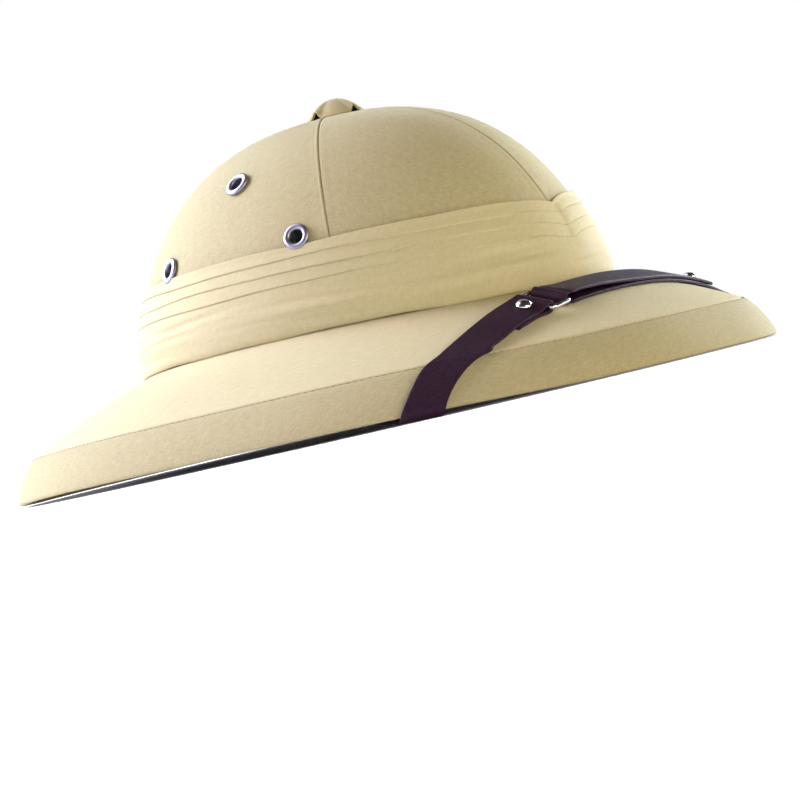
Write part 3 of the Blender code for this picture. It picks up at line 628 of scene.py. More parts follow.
# ---- crown: four panels sewn together over the shell
crown = {
    "steps": 240, "seamReach": 7.0, "seamSteps": 18, "rows": 72,
    "valleyDepth": 0.00038, "valleyWidth": 0.0006,
    "allowance": 0.00010, "allowanceWidth": 0.0040, "allowanceEdge": 0.0014,
    "ridge": 0.00042, "ridgeWidth": 0.0007,
    "unevenness": 0.00012, "topStart": 80.0, "topRows": 10,
}
seamTurns = (0.0, hat["sideSeam"], 180.0, 360.0 - hat["sideSeam"])


def seamDistance(t, seam, elevation):
    # metres along the ring from a seam; plus is away from the front
    gap = halfTurn(t - math.radians(seam))
    shrink = np.cos(np.radians(elevation)) ** hat["domeRoundness"]
    radius = np.hypot(hat["crownHalfWidth"] * np.cos(t), hat["crownHalfLength"] * np.sin(t)) * shrink
    away = 1.0 if seam < 180 else -1.0
    return gap * radius * away


def crownRelief(t, elevation):
    relief = np.zeros_like(t)
    for seam in seamTurns:
        distance = seamDistance(t, seam, elevation)
        reach = np.abs(distance)
        relief += crown["allowance"] * smoothStep((crown["allowanceWidth"] - reach) / crown["allowanceEdge"])
        relief -= crown["valleyDepth"] * bell(reach / crown["valleyWidth"])
        if seam in (seamTurns[1], seamTurns[3]):
            # the rear panel is folded over the front one
            lip = (distance > 0) * smoothStep((crown["ridgeWidth"] * 1.8 - distance) / crown["ridgeWidth"])
            relief += crown["ridge"] * lip
    wobble = np.sin(3.1 * t + 0.11 * elevation) * np.sin(0.23 * elevation + 1.3 * np.cos(2 * t))
    return relief + crown["unevenness"] * wobble * smoothStep((crown["topStart"] - elevation) / 20)


crownAngles = spacedAngles(crown["steps"], seamTurns, crown["seamReach"], crown["seamSteps"])
elevations = np.concatenate([np.linspace(0, crown["topStart"], crown["rows"] - crown["topRows"]),
                             np.linspace(crown["topStart"], hat["ventEdge"], crown["topRows"] + 1)[1:]])
crownRings = []
for elevation in elevations:
    e = np.full_like(crownAngles, elevation)
    crownRings.append(onCrown(crownAngles, e, crownRelief(crownAngles, e) - crown["allowance"]))
panelSpans = list(zip(seamTurns, seamTurns[1:] + (360.0,)))
crownSheet = clothRings("crown_cloth", crownAngles, crownRings, panelSpans)
panelNames = ("crown_front_left", "crown_rear_left", "crown_rear_right", "crown_front_right")


def separatePanels(sheet, spans, names):
    panels = []
    for (first, last), name in zip(spans[:-1], names[:-1]):
        x, y, _ = readArray(sheet.data.polygons, "center", width=3).T
        across, ahead = x / hat["crownHalfWidth"], (hat["crownMiddleY"] - y) / hat["crownHalfLength"]
        bearing = np.degrees(np.arctan2(across, ahead)) % 360
        editChosen(sheet, sheet.data.polygons, (bearing >= first) & (bearing < last), "FACE")
        bpy.ops.mesh.separate(type="SELECTED")
        leaveEdit()
        panel = [o for o in bpy.context.selected_objects if o is not sheet][0]
        panel.name = panel.data.name = name + "_cloth"
        panels.append(panel)
    sheet.name = sheet.data.name = names[-1] + "_cloth"
    return panels + [sheet]


for _, place, _ in eyeletPlaces():
    punchHole(crownSheet, place)
crownPanels = separatePanels(crownSheet, panelSpans, panelNames)
for panel, name in zip(crownPanels, panelNames):
    cut = sewn(panel, "crown", name, "khaki_cloth")
print("crown panels done")

# ---- brim cover
brim = {
    "steps": 320, "rows": 44, "outer": 0.004, "inner": 0.985, "width": 0.06,
    "dip": 0.0007, "dipWidth": 0.0009,
}
brimAngles = spacedAngles(brim["steps"])
brimRings = []
for share in np.linspace(brim["outer"], brim["inner"], brim["rows"]):
    # the cloth dips into the stitching
    fall = brim["dip"] * math.exp(-(share * brim["width"] / brim["dipWidth"]) ** 2)
    brimRings.append(standOff(brimPoint, brimAngles, share + 0 * brimAngles, -fall))
brimCloth = clothRings("brim_cloth", brimAngles, brimRings)
# the brim cover takes the lighter copy of the twill, which is painted light
cut = sewn(brimCloth, "brim", "brim_cover", "khaki_cloth")
print("brim cover done")

# ---- rim binding: turned-down band, foot and lip
binding = {
    "steps": 320, "foot": 0.0053, "lip": 0.0055, "lean": 0.0023, "corner": 0.0013,
    # shares of the band's height, and its rows; points past the top and past the foot
    "top": 0.996, "bandEnd": 0.975, "bandStart": 0.09, "bandRows": 24,
    "tuck": ((0.0003, -0.0008), (0.0001, -0.0003)), "footTurn": ((-0.0008, 0), (0, 0), (0.0004, 0.0009)),
}


def bezier(first, middle, last, count):
    share = np.linspace(0, 1, count)[:, None]
    first, middle, last = (np.array(point) for point in (first, middle, last))
    return (1 - share) ** 2 * first + 2 * share * (1 - share) * middle + share ** 2 * last


top, foot = bandSection(binding["top"]), binding["foot"]
# tucked in under the stitching, down the band, round the lower edge and up inside
profile = [(top[0] + inset, top[1] + height) for inset, height in binding["tuck"]]
bandShares = np.linspace(binding["bandEnd"], binding["bandStart"], binding["bandRows"])
profile += [bandSection(share) for share in bandShares]
profile += list(bezier(bandSection(binding["bandStart"]), (0, 0), (binding["corner"], 0), 7)[1:])
profile += list(bezier(*((foot + inset, height) for inset, height in binding["footTurn"]), 5))
profile.append((foot + binding["lean"], binding["lip"]))
bindingAngles = spacedAngles(binding["steps"])
bindingRings = [rimSection(bindingAngles, inset + 0 * bindingAngles, height) for inset, height in profile]
bindingCloth = clothRings("rim_binding_cloth", bindingAngles, bindingRings)
makeActive(bindingCloth)
editAll()
bpy.ops.mesh.flip_normals()
leaveEdit()
cut = sewn(bindingCloth, "crown", "rim_binding", "khaki_cloth")
print("rim binding done")

# ---- lining under the brim
lining = {
    "steps": 320, "hemDepth": 0.0044, "depth": 0.0048, "puckerDepth": 0.00018,
    # first and last share, and rows: up the turned-down band, then across the brim
    "band": (0.45, 0.86, 6), "brim": (0.09, 0.93, 26),
}


def cornerPoint(t, lower, upper, depth):
    # the point at a depth inside the crease where two surfaces meet; each is (surface, share, step)
    first = surfaceNormal(lower[0], t, lower[1] + 0 * t, lower[2])
    second = surfaceNormal(upper[0], t, upper[1] + 0 * t, upper[2])
    scale = depth / (1 + (first * second).sum(-1, keepdims=True))
    return upper[0](t, upper[1] + 0 * t) - (first + second) * scale


def stitchCorner(t, depth):
    return cornerPoint(t, (bandPoint, 0.995, 0.004), (brimPoint, 0.01, 0.01), depth)


def baseCorner(t, depth):
    return cornerPoint(t, (brimPoint, 0.99, 0.005), (domePoint, 0.3, 0.2), depth)


liningAngles = spacedAngles(lining["steps"])
liningRings = []
for share in np.linspace(*lining["band"]):
    liningRings.append(standOff(bandPoint, liningAngles, share, -lining["hemDepth"]))
liningRings.append(stitchCorner(liningAngles, lining["depth"]))
for share in np.linspace(*lining["brim"]):
    pucker = lining["puckerDepth"] * np.sin(9 * liningAngles + 5 * share) * np.sin(4 * liningAngles + 2)
    liningRings.append(standOff(brimPoint, liningAngles, share, pucker - lining["depth"]))
liningRings.append(baseCorner(liningAngles, lining["depth"]))
liningCloth = clothRings("brim_lining_cloth", liningAngles, liningRings)
cut = sewn(liningCloth, "lining", "brim_lining", "white_lining")
print("lining done")

# ---- the moulded shell inside, seen from below and through the vent
shell = {
    "steps": 300, "outside": 0.0013, "inside": 0.0045, "edgeInside": 0.0031,
    "footOutside": 0.0021, "footInside": 0.0039,
    "band": (0.3, 0.45, 0.62, 0.80), "brim": (0.09, 0.93, 10),
}
shellAngles = spacedAngles(shell["steps"])
shellElevations = np.concatenate([np.linspace(2.0, 80, 34), np.linspace(81, hat["ventEdge"], 6)])


def shellRings(depth, edgeDepth, footInset):
    rings = [rimSection(shellAngles, footInset + 0 * shellAngles, shell["outside"])]
    for share in shell["band"]:
        rings.append(standOff(bandPoint, shellAngles, share, -edgeDepth))
    rings.append(stitchCorner(shellAngles, depth))
    for share in np.linspace(*shell["brim"]):
        rings.append(standOff(brimPoint, shellAngles, share, -depth))
    rings.append(baseCorner(shellAngles, depth))
    for elevation in shellElevations:
        rings.append(onCrown(shellAngles, elevation + 0 * shellAngles, -depth))
    return rings


outerRings = shellRings(shell["outside"], shell["outside"], shell["footOutside"])
innerRings = shellRings(shell["inside"], shell["edgeInside"], shell["footInside"])
pithBody, _, _ = ringStack("pith_body", shellAngles, innerRings[::-1] + outerRings, closed=True)
pithBody.data.shade_smooth()
pithNodes = ["pith_" + part + side for part in ("front", "side", "rear") for side in ("_left", "_right")]
dress(pithBody, materials["pith"], *pithNodes, slot="pith_tan")
print("shell done")

# ---- eyelets
bore, lift = eyelet["bore"], eyelet["flangeLift"]
rollMiddle, rollHalf = (bore + eyelet["flange"]) / 2, (eyelet["flange"] - bore) / 2
eyeletProfile = [(rollMiddle + rollHalf * math.cos(a), lift + (eyelet["roll"] - lift) * math.sin(a) ** 0.8)
                 for a in np.linspace(0, np.pi, 13)]
eyeletProfile.append((bore, 0.0))
eyeletProfile += [(bore + out, up - eyelet["wall"]) for out, up in eyelet["tail"]]
eyeletProfile.append((bore + eyelet["metal"], 0.0))
for name, place, normal in eyeletPlaces():
    turn = normal.to_track_quat("Z", "Y")
    deselectAll()
    bpy.ops.mesh.primitive_cylinder_add(vertices=40, radius=eyelet["holeRadius"], depth=0.03,
                                        location=place, rotation=turn.to_euler())
    punch = bpy.context.object
    applyModifier(pithBody, "BOOLEAN", operation="DIFFERENCE", solver="EXACT", object=punch)
    bpy.data.objects.remove(punch)
    ring = spun(name + "_metal", eyeletProfile, place, turn, eyelet["steps"])
    dress(ring, materials["nickel"], name, slot="nickel")
print("eyelets done")

# ---- puggaree: the pleated wrap
wrap = {
    "steps": 300, "foldReach": 16.0, "foldSteps": 30, "cloth": 0.0004,
    # elevations of the upper edge and of the pleats' folds, and how far these stand off the crown
    "top": 25.6, "pleats": (14.75, 18.5, 22.1), "pleatOffs": (0.0023, 0.0020, 0.0017),
    # elevation and stand-off: the hem turned under, the wide part and the upper edge turned in
    "hem": ((1.5, 0.0010), (0.9, 0.0011), (0.45, 0.0014), (0.25, 0.0019), (0.35, 0.0025), (0.7, 0.0029),
            (1.3, 0.0032)),
    "wide": ((2.5, 0.00335), (4.5, 0.0034), (6.5, 0.0033), (8.5, 0.0031), (10.5, 0.0028), (13.5, 0.0024)),
    "edge": ((-0.35, 0.0018), (0, 0.0017), (0.12, 0.0012), (-0.1, 0.0007), (-0.8, 0.0005)),
    # a pleat's fold: rise over the pleat, inset, shares of the drop, the lip and the groove
    "fold": ((-0.60, 0, 0, 0, 0), (-0.25, 0, 0, 0, 0.5), (0.15, 0.00005, 0, 0, 1.0), (-0.05, 0, 0, 0.2, 0.6),
             (0, 0, 1.0, 0.45, 0), (0, 0, 1.3, 0.8, 0), (0.12, 0, 1.0, 1.0, 0), (0.35, 0, 0, 1.1, 0)),
    "lip": 0.00034, "groove": 0.0009, "drop": 0.16, "frontDrop": 1.8, "wander": 0.16,
    "pinch": 2.2, "nearPinch": 8.5, "farPinch": 5.0,
    "sink": 0.0010, "ripple": 0.00016,
    "creaseCount": 46, "creaseDepth": 0.00110,
    # the eyelets' rims press it flat: their elevation, metres to a degree and a radian, reach
    "pressElevation": 29.0, "degree": 0.0017, "radian": 0.085, "pressReach": 0.0075, "pressShare": 0.72,
}


def wrapProfile():
    # elevation, stand-off, and shares of the pleats' drop, lip and groove, from the hem up
    rows = [(e, off, 0, 0, 0) for e, off in wrap["hem"]]
    rows += [(e, np.interp(e, *zip(*wrap["wide"])), 0, 0, 0) for e in np.arange(2.0, 13.8, 0.45)]
    tops = wrap["pleats"][1:] + (wrap["top"],)
    for pleat, off, nextPleat in zip(wrap["pleats"], wrap["pleatOffs"], tops):
        rows += [(pleat + rise, off - inset, *shares) for rise, inset, *shares in wrap["fold"]]
        rows += [(pleat + (nextPleat - pleat) * share, off - 0.0003 * share, 0, 1 - share, 0)
                 for share in (0.3, 0.5, 0.7)]
    return rows + [(wrap["top"] + rise, off, 0, 0, 0) for rise, off in wrap["edge"]]


def pleatStrength(fromFront):
    # the near side's pleats fade out before the front, the far side's start there as deep folds
    near = 0.35 + 0.45 * smoothStep((fromFront + 100) / 50) - 0.65 * smoothStep((fromFront + 18) / 13)
    far = 0.15 + 1.25 * smoothStep(fromFront / 2.5) - 0.5 * smoothStep((fromFront - 14) / 24)
    fold = smoothStep(fromFront / 1.0) * (1 - smoothStep((fromFront - 9) / 22))
    return np.where(fromFront < 0, near, far), np.where(fromFront < 0, 0, fold)


def wrapCreases(t, elevation):
    # soft creases, nearly level, in the wide part under the pleats
    chance = np.random.RandomState(7)
    relief = np.zeros_like(t)
    for _ in range(wrap["creaseCount"]):
        middle, height = chance.uniform(0, 2 * np.pi), chance.uniform(3.0, 13.0)
        length, width = chance.uniform(0.12, 0.42), chance.uniform(0.7, 1.6)
        tilt, depth = chance.uniform(-5.0, 5.0), chance.uniform(-1.0, 1.0)
        gap = halfTurn(t - middle)
        shape = bell(gap / length) * bell((elevation - height - tilt * gap) / width)
        relief += wrap["creaseDepth"] * depth * shape
    return relief


def nearEyelets(t, elevation):
    # 1 under the low eyelets' rims, 0 away from them
    press = np.zeros_like(t)
    for mirror in (-1, 1):
        for turn in (-eyelet["spread"], eyelet["spread"]):
            middle = mirror * math.radians(eyelet["bearing"] + turn)
            gap = halfTurn(t - middle) * wrap["radian"]
            rise = (elevation - wrap["pressElevation"]) * wrap["degree"]
            press = np.maximum(press, smoothStep(1.5 - np.hypot(gap, rise) / wrap["pressReach"]))
    return press


wrapAngles = spacedAngles(wrap["steps"], (0.0,), wrap["foldReach"], wrap["foldSteps"])
wrapRings = []
fromFront = np.degrees(halfTurn(wrapAngles))
strength, fold = pleatStrength(fromFront)
narrow = np.where(fromFront < 0, wrap["nearPinch"], wrap["farPinch"])
for elevation, off, drop, lip, groove in wrapProfile():
    notch = wrap["pinch"] * np.exp(-np.abs(fromFront) / narrow) * smoothStep((elevation - 6.0) / 8.0)
    wander = np.sin(5 * wrapAngles + 0.9 * elevation) + 0.6 * np.sin(11 * wrapAngles - 0.5 * elevation)
    e = elevation - notch + wrap["wander"] * wander
    e = e - drop * wrap["drop"] * (strength + wrap["frontDrop"] * fold)
    distance = off + wrapCreases(wrapAngles, e) * smoothStep((elevation - 1.0) / 2.0)
    distance = distance + lip * wrap["lip"] * strength - groove * wrap["groove"] * fold
    press = nearEyelets(wrapAngles, e)
    distance = distance * (1 - wrap["pressShare"] * press) + 0.0002 * press
    ring = onCrown(wrapAngles, e, distance)
    sink = wrap["sink"] + wrap["ripple"] * (np.sin(7 * wrapAngles) + np.sin(17 * wrapAngles + 1))
    ring[:, 2] -= sink * smoothStep((3.5 - elevation) / 3.5)
    wrapRings.append(ring)
puggaree = clothRings("puggaree_cloth", wrapAngles, wrapRings)
cut = sewn(puggaree, "wrap", "puggaree", "khaki_wrap", wrap["cloth"])
print("puggaree done")

# ---- vent cap: two strips of cloth crossed over the vent
cap = {
    "y": -0.0065, "radius": 0.0130, "topZ": 0.1441, "wall": 0.0010,
    "legs": (35.0, 125.0, 215.0, 305.0), "gapHalf": 17.5, "arch": 0.0031,
    "steps": 192, "halfLegs": 45.0, "drawnIn": 0.04,
    "welt": 0.00034, "weltShare": 0.955, "weltWidth": 0.035, "fold": 0.00010, "foldWidth": 6.0,
    # shares of the cap's radius from its edge to its middle, and radii of the dark ring round the vent that
    # is painted shade
    "shares": (1.0, 0.985, 0.965, 0.94, 0.91, 0.87, 0.82, 0.76,
               0.69, 0.61, 0.52, 0.43, 0.33, 0.23, 0.12, 0.02),
    "shadeRadii": (0.0064, 0.0085, 0.0104), "shadeDepth": 0.0012,
}


def crownHeight(x, y):
    across, along = x / hat["crownHalfWidth"], (y - hat["crownMiddleY"]) / hat["crownHalfLength"]
    reach = np.clip(np.hypot(across, along), 1e-6, 1)
    elevation = np.degrees(np.arccos(reach ** (1 / hat["domeRoundness"])))
    return domePoint(np.arctan2(across, -along), np.minimum(elevation, hat["ventEdge"]))[..., 2]


capAngles = spacedAngles(cap["steps"])
legGaps = [np.abs(halfTurn(capAngles - math.radians(leg))) for leg in cap["legs"]]
fromLeg = np.degrees(np.min(legGaps, axis=0))
opening = 0.5 + 0.5 * np.cos(np.pi * np.minimum((cap["halfLegs"] - fromLeg) / cap["gapHalf"], 1))
foot = crownHeight(cap["radius"] * np.sin(capAngles), cap["y"] - cap["radius"] * np.cos(capAngles))
foot = foot + hat["gap"] * 0.3 + cap["arch"] * opening
capRings = []
for share in cap["shares"]:
    radius = cap["radius"] * (share - cap["drawnIn"] * opening * share ** 4)
    edge = bell((share - cap["weltShare"]) / cap["weltWidth"]) * cap["welt"] * (0.5 + 0.5 * opening)
    valley = cap["fold"] * bell((fromLeg - cap["halfLegs"]) / cap["foldWidth"]) * share * (1 - share) * 4
    height = foot + (cap["topZ"] - foot) * (1 - share ** 2) + edge - valley
    capRings.append(np.stack([radius * np.sin(capAngles), cap["y"] - radius * np.cos(capAngles), height], -1))
capCloth = clothRings("vent_cap_cloth", capAngles, capRings)
capVertices = capCloth.data.vertices
innermost = np.arange(len(capVertices)) >= len(capVertices) - len(capAngles)
editChosen(capCloth, capVertices, innermost, "VERT")
bpy.ops.mesh.merge(type="CENTER")
leaveEdit()
cut = sewn(capCloth, "crown", "vent_cap", "khaki_cloth", cap["wall"])

# painted shade: a near-black ring under the cap, round the vent, stands for the shade seen through the cap's
# openings
ceiling = float(foot.min()) - cap["wall"] - hat["gap"]
bottom = ceiling - cap["shadeDepth"]
shadeProfile = [(cap["shadeRadii"][-1], bottom), (cap["shadeRadii"][0], bottom)]
for radius in cap["shadeRadii"]:
    arch = (cap["topZ"] - ceiling) * (1 - (radius / cap["radius"]) ** 2)
    shadeProfile.append((radius, ceiling + arch - 0.0004))
ventShadeRing = spun("vent_shade_ring", shadeProfile, Vector((0, cap["y"], 0)), Quaternion(), 64)
dress(ventShadeRing, materials["ventShade"], slot="khaki_cloth")
print("vent cap done")

# ---- chin strap: two lengths of leather that meet at a ring
strap = {
    "width": 0.0165, "thickness": 0.0014, "rimGap": 0.0006, "foot": 0.0053,
    "wire": 0.0010, "ringX": -0.0500, "ringHalf": 0.0062,
    # x, and the height of the leather's underside at its inner and its outer edge
    "nearOuter": ((-0.1010, 0.0004, 0.0006), (-0.0962, 0.0007, 0.0008), (-0.0905, 0.0013, 0.0010),
                  (-0.0850, 0.0020, 0.0014), (-0.0790, 0.0026, 0.0020), (-0.0720, 0.0031, 0.0021),
                  (-0.0625, 0.0036, 0.0022), (-0.0590, 0.0038, 0.0029)),
    "nearTurnBack": ((-0.0590, 0.0004, 0.0003), (-0.0625, 0.0019, 0.0005), (-0.0720, 0.0014, 0.0004),
                     (-0.0775, 0.0010, 0.0003)),
    "farOuter": ((-0.0400, 0.0036, 0.0047), (-0.0320, 0.0025, 0.0046), (-0.0220, 0.0021, 0.0040),
                 (-0.0120, 0.0020, 0.0033), (0.0001, 0.0020, 0.0026), (0.0100, 0.0020, 0.0021),
                 (0.0220, 0.0020, 0.0020), (0.0450, 0.0020, 0.0020), (0.0755, 0.0020, 0.0020),
                 (0.0815, 0.0020, 0.0020)),
    "edge": 0.00035, "columns": 14,
    # the hidden run: past the corner under the brim (off the leather's face, and a shift), then the
    # two ends of the tab that the pin holds inside the crown
    "cornerDepth": 0.0058, "hidden": ((0.0015, (0, -0.010, -0.0055)), (0.0016, (0, -0.001, 0.0004))),
    "tab": (-0.0030, 0.0065), "anchorBearing": 94.0, "tabElevation": 6.4, "tabDepth": 0.0020,
    # inner x, inner y, outer x, outer y of the leather's edges over the brim, seen from above
    "route": ((0.1075, -0.1040, 0.0945, -0.1230), (0.1000, -0.1054, 0.0925, -0.1233),
              (0.0920, -0.1070, 0.0887, -0.1238), (0.0840, -0.1083, 0.0840, -0.1245),
              (0.0720, -0.1098, 0.0735, -0.1258), (0.0620, -0.1110, 0.0635, -0.1268),
              (0.0450, -0.1130, 0.0460, -0.1291), (0.0300, -0.1143, 0.0305, -0.1306),
              (0.0150, -0.1150, 0.0152, -0.1315)),
    "middle": (0.0, -0.1152, 0.0, -0.1317),
    "innerCrossing": (58.4, 56.1, 53.1),   # bearings at the band's lower edge, middle and top
    "outerCrossing": (52.3, 49.7, 44.2),
}
foldGap = strap["wire"] + hat["gap"]
ringHeight = hat["gap"] + strap["thickness"] + foldGap


def smoothThrough(stations, values, wanted):
    # a smooth curve through the values, read at the wanted stations
    stations, values = np.asarray(stations, float), np.asarray(values, float)
    gaps = np.diff(stations)[:, None]
    slopes = np.diff(values, axis=0) / gaps
    between = (slopes[:-1] * gaps[1:] + slopes[1:] * gaps[:-1]) / (gaps[1:] + gaps[:-1])
    tangents = np.concatenate([slopes[:1], between, slopes[-1:]])
    i = np.clip(np.searchsorted(stations, wanted, side="right") - 1, 0, len(stations) - 2)
    gap = gaps[i]
    share = ((wanted - stations[i])[:, None]) / gap
    a, b, c, d = values[i], tangents[i] * gap, values[i + 1], tangents[i + 1] * gap
    return (a * (2 * share ** 3 - 3 * share ** 2 + 1) + b * (share ** 3 - 2 * share ** 2 + share)
            + c * (3 * share ** 2 - 2 * share ** 3) + d * (share ** 3 - share ** 2))


def brimUnder(x, y):
    # the brim's point and normal under a place seen from above
    t = np.arctan2(x / hat["rimHalfWidth"], -y / hat["rimHalfLength"])
    inward = 0 * t + 0.5
    for _ in range(40):
        point = brimPoint(t, inward)
        along = (brimPoint(t, inward + 0.01) - point) / 0.01
        around = (brimPoint(t + 0.01, inward) - point) / 0.01
        dx, dy = x - point[:, 0], y - point[:, 1]
        scale = along[:, 0] * around[:, 1] - along[:, 1] * around[:, 0]
        inward = inward + (dx * around[:, 1] - dy * around[:, 0]) / scale
        t = t + (along[:, 0] * dy - along[:, 1] * dx) / scale
    normal = unit(np.cross(around, along))
    return brimPoint(t, inward), normal * np.sign(normal[:, 2:])


leftRoute = np.array(strap["route"])
wholeRoute = np.concatenate([leftRoute * (-1, 1, -1, 1), [strap["middle"]], leftRoute[::-1]])
routeStations = (wholeRoute[:, 0] + wholeRoute[:, 2]) / 2


def routeFrame(x):
    x = np.atleast_1d(np.asarray(x, float))
    edges = smoothThrough(routeStations, wholeRoute, x)
    inner, outer = edges[:, :2], edges[:, 2:]
    middle = (inner + outer) / 2
    centre, normal = brimUnder(middle[:, 0], middle[:, 1])
    across = np.concatenate([outer - inner, np.zeros((len(x), 1))], 1)
    across -= normal * (across * normal).sum(1, keepdims=True)
    return centre, normal, unit(across)


def layer(x, inner, outer, flipped=False):
    # sections of the leather over the brim: inner low, inner high, outer high, outer low
    centre, normal, across = routeFrame(x)
    inner, outer = (np.asarray(height + 0 * np.atleast_1d(x))[:, None] for height in (inner, outer))
    tilted = unit(across * strap["width"] + normal * (outer - inner))
    facing = unit(normal - tilted * (normal * tilted).sum(1, keepdims=True))
    ahead = unit(routeFrame(np.atleast_1d(x) + 0.001)[0] - routeFrame(np.atleast_1d(x) - 0.001)[0])
    slant = np.linalg.norm(np.cross(across, ahead), axis=1, keepdims=True)
    reach = tilted * strap["width"] / 2 / slant
    low = centre + normal * (inner + outer) / 2
    high = low + facing * strap["thickness"]
    section = np.stack([low - reach, high - reach, high + reach, low + reach], 1)
    return section[:, (1, 0, 3, 2)] if flipped else section


def layerBy(table, flipped=False, step=0.0015):
    # the same from a table of x and heights, read in even steps
    rows = np.array(table)
    forward = rows if rows[-1, 0] > rows[0, 0] else rows[::-1]
    count = max(int(abs(rows[-1, 0] - rows[0, 0]) / step), 2)
    wanted = np.linspace(rows[0, 0], rows[-1, 0], count)
    within = np.clip(wanted, forward[0, 0], forward[-1, 0] - 1e-9)
    heights = smoothThrough(forward[:, 0], forward[:, 1:], within)
    return layer(wanted, heights[:, 0], heights[:, 1], flipped)


def rimRun(mirror):
    # from the stitching down the band and under the rim
    heights = np.linspace(1.0, 0.0, 14)
    corners = []
    for crossing in (strap["innerCrossing"], strap["outerCrossing"]):
        bearing = np.polyval(np.polyfit((0, 0.5, 1), crossing, 2), heights)
        t = mirror * np.radians(bearing)
        for lift in (0.0, strap["thickness"]):
            down = standOff(bandPoint, t, heights, strap["rimGap"] + lift, 0.004)
            feet = []
            for inset, way in ((strap["rimGap"], -1), (strap["foot"], 1)):
                turn = np.array(mirror * (math.radians(crossing[0]) + inset / hat["rimHalfLength"]))
                shiftIn = inset + (way * strap["thickness"] / 2 if lift else 0)
                feet.append(rimSection(turn, shiftIn, -strap["rimGap"] / 2 - lift))
            corners.append(np.concatenate([down[:-1], feet]))
    return np.stack([corners[0], corners[1], corners[3], corners[2]], 1)


def hiddenRun(mirror):
    # under the brim, straight to the pin inside the crown
    t = np.array(mirror * math.radians(strap["anchorBearing"]))
    wall = -shell["inside"]
    low, high = (onCrown(t, strap["tabElevation"] + reach, wall) for reach in (-4.0, 4.0))
    up = unit(high - low)
    outward = np.array([mirror * 1.0, 0.0, 0.0])
    normal = unit(outward - up * (outward @ up))
    corner = baseCorner(t, strap["cornerDepth"])
    tab = onCrown(t, strap["tabElevation"], wall) - normal * strap["tabDepth"]
    facings = (unit(np.array([mirror * 0.35, 0, 1.0])), unit(normal + np.array([0, 0, 0.5])))
    stops = [(corner - normal * off + np.array(shift), facing)
             for (off, shift), facing in zip(strap["hidden"], facings)]
    stops += [(tab + up * rise, normal) for rise in strap["tab"]]
    back = np.cross(up, normal) * mirror
    sections = []
    for middle, facing in stops:
        across, half = back * strap["width"] / 2, facing * strap["thickness"] / 2
        sections.append([middle + across + half, middle + across - half, middle - across - half,
                         middle - across + half])
    return np.array(sections)


ringCentre, ringNormal, ringAcross = (part[0] for part in routeFrame(strap["ringX"]))
ringCentre = ringCentre + ringNormal * ringHeight
ringAlong = unit(np.cross(ringAcross, ringNormal))
ringAlong *= np.sign(ringAlong[0])


def foldRun(side):
    # the leather turned round the ring's bar, from its upper layer to its lower one
    centre = ringCentre + ringAlong * (side * strap["ringHalf"])
    reach = ringAcross * strap["width"] / 2
    sections = []
    for angle in np.linspace(np.pi / 2, -np.pi / 2, 15):
        spoke = -side * math.cos(angle) * ringAlong + math.sin(angle) * ringNormal
        low, high = centre + spoke * foldGap, centre + spoke * (foldGap + strap["thickness"])
        sections.append([low - reach, high - reach, high + reach, low + reach])
    return np.array(sections)


def respaced(sections, step):
    # even steps along the strap's middle
    middle = sections.mean(1)
    along = np.concatenate([[0], np.cumsum(np.linalg.norm(np.diff(middle, axis=0), axis=1))])
    keep = np.concatenate([[True], np.diff(along) > 1e-5])
    along, sections = along[keep], sections[keep]
    stations = np.linspace(0, along[-1], int(along[-1] / step) + 1)
    flat = smoothThrough(along, sections.reshape(len(sections), 12), stations)
    return stations, flat.reshape(-1, 4, 3)


def leatherStrip(name, sections, step=0.0009):
    # a grid is rolled round the sections' outline and its two ends are closed
    stations, sections = respaced(sections, step)
    width, thickness = strap["width"], strap["thickness"]
    # shares of the width and thickness that the rounded edge takes, and the outline in such shares
    a, b = strap["edge"] / width, strap["edge"] / thickness
    half = [(a - a * math.cos(turn), 1 - b + b * math.sin(turn)) for turn in np.linspace(0, np.pi / 2, 4)]
    top = [(share, 1.0) for share in np.linspace(a, 1 - a, strap["columns"])][1:-1]
    outline = half + top + [(1 - u, v) for u, v in half[::-1]]
    outline += [(1 - u, 1 - v) for u, v in half + top] + [(u, 1 - v) for u, v in half[::-1]]
    outline = np.array(outline + outline[:1])
    u, v = outline[:, 0][None, :, None], outline[:, 1][None, :, None]
    innerLow, innerHigh, outerHigh, outerLow = (sections[:, i][:, None] for i in range(4))
    places = (1 - u) * ((1 - v) * innerLow + v * innerHigh) + u * ((1 - v) * outerLow + v * outerHigh)
    around = np.concatenate([[0], np.cumsum(np.hypot(*(np.diff(outline, axis=0) * (width, thickness)).T))])
    uv = np.stack(np.broadcast_arrays(around[None, :], stations[:, None]), -1)
    # slot 0 on the face, 1 round the cut edges, 2 underneath
    columns = len(outline) - 1
    slots = np.full(columns, 1)
    slots[len(half) - 1:len(half) + len(top)] = 0
    underStart = 3 * len(half) + len(top) - 1
    slots[underStart:underStart + len(top) + 1] = 2
    return rolledGrid(name, places, uv, np.broadcast_to(slots, (len(stations) - 1, columns)))


nearSections = np.concatenate([hiddenRun(-1)[::-1], rimRun(-1)[::-1], layerBy(strap["nearOuter"]),
                               foldRun(-1), layerBy(strap["nearTurnBack"], True)])
strapNear = leatherStrip("strap_near_leather", nearSections)

lowerX = np.arange(-strap["nearOuter"][0][0], strap["farOuter"][0][0], -0.0015)
farSections = np.concatenate([hiddenRun(1)[::-1], rimRun(1)[::-1], layer(lowerX, hat["gap"], hat["gap"]),
                              foldRun(1)[::-1], layerBy(strap["farOuter"], True)])
strapFar = leatherStrip("strap_far_leather", farSections)
for piece, node in ((strapNear, "strap_near"), (strapFar, "strap_far")):
    dress(piece, [materials["leather"], materials["cutEdge"], materials["flesh"]], node, slot="strap_leather")
print("straps done")

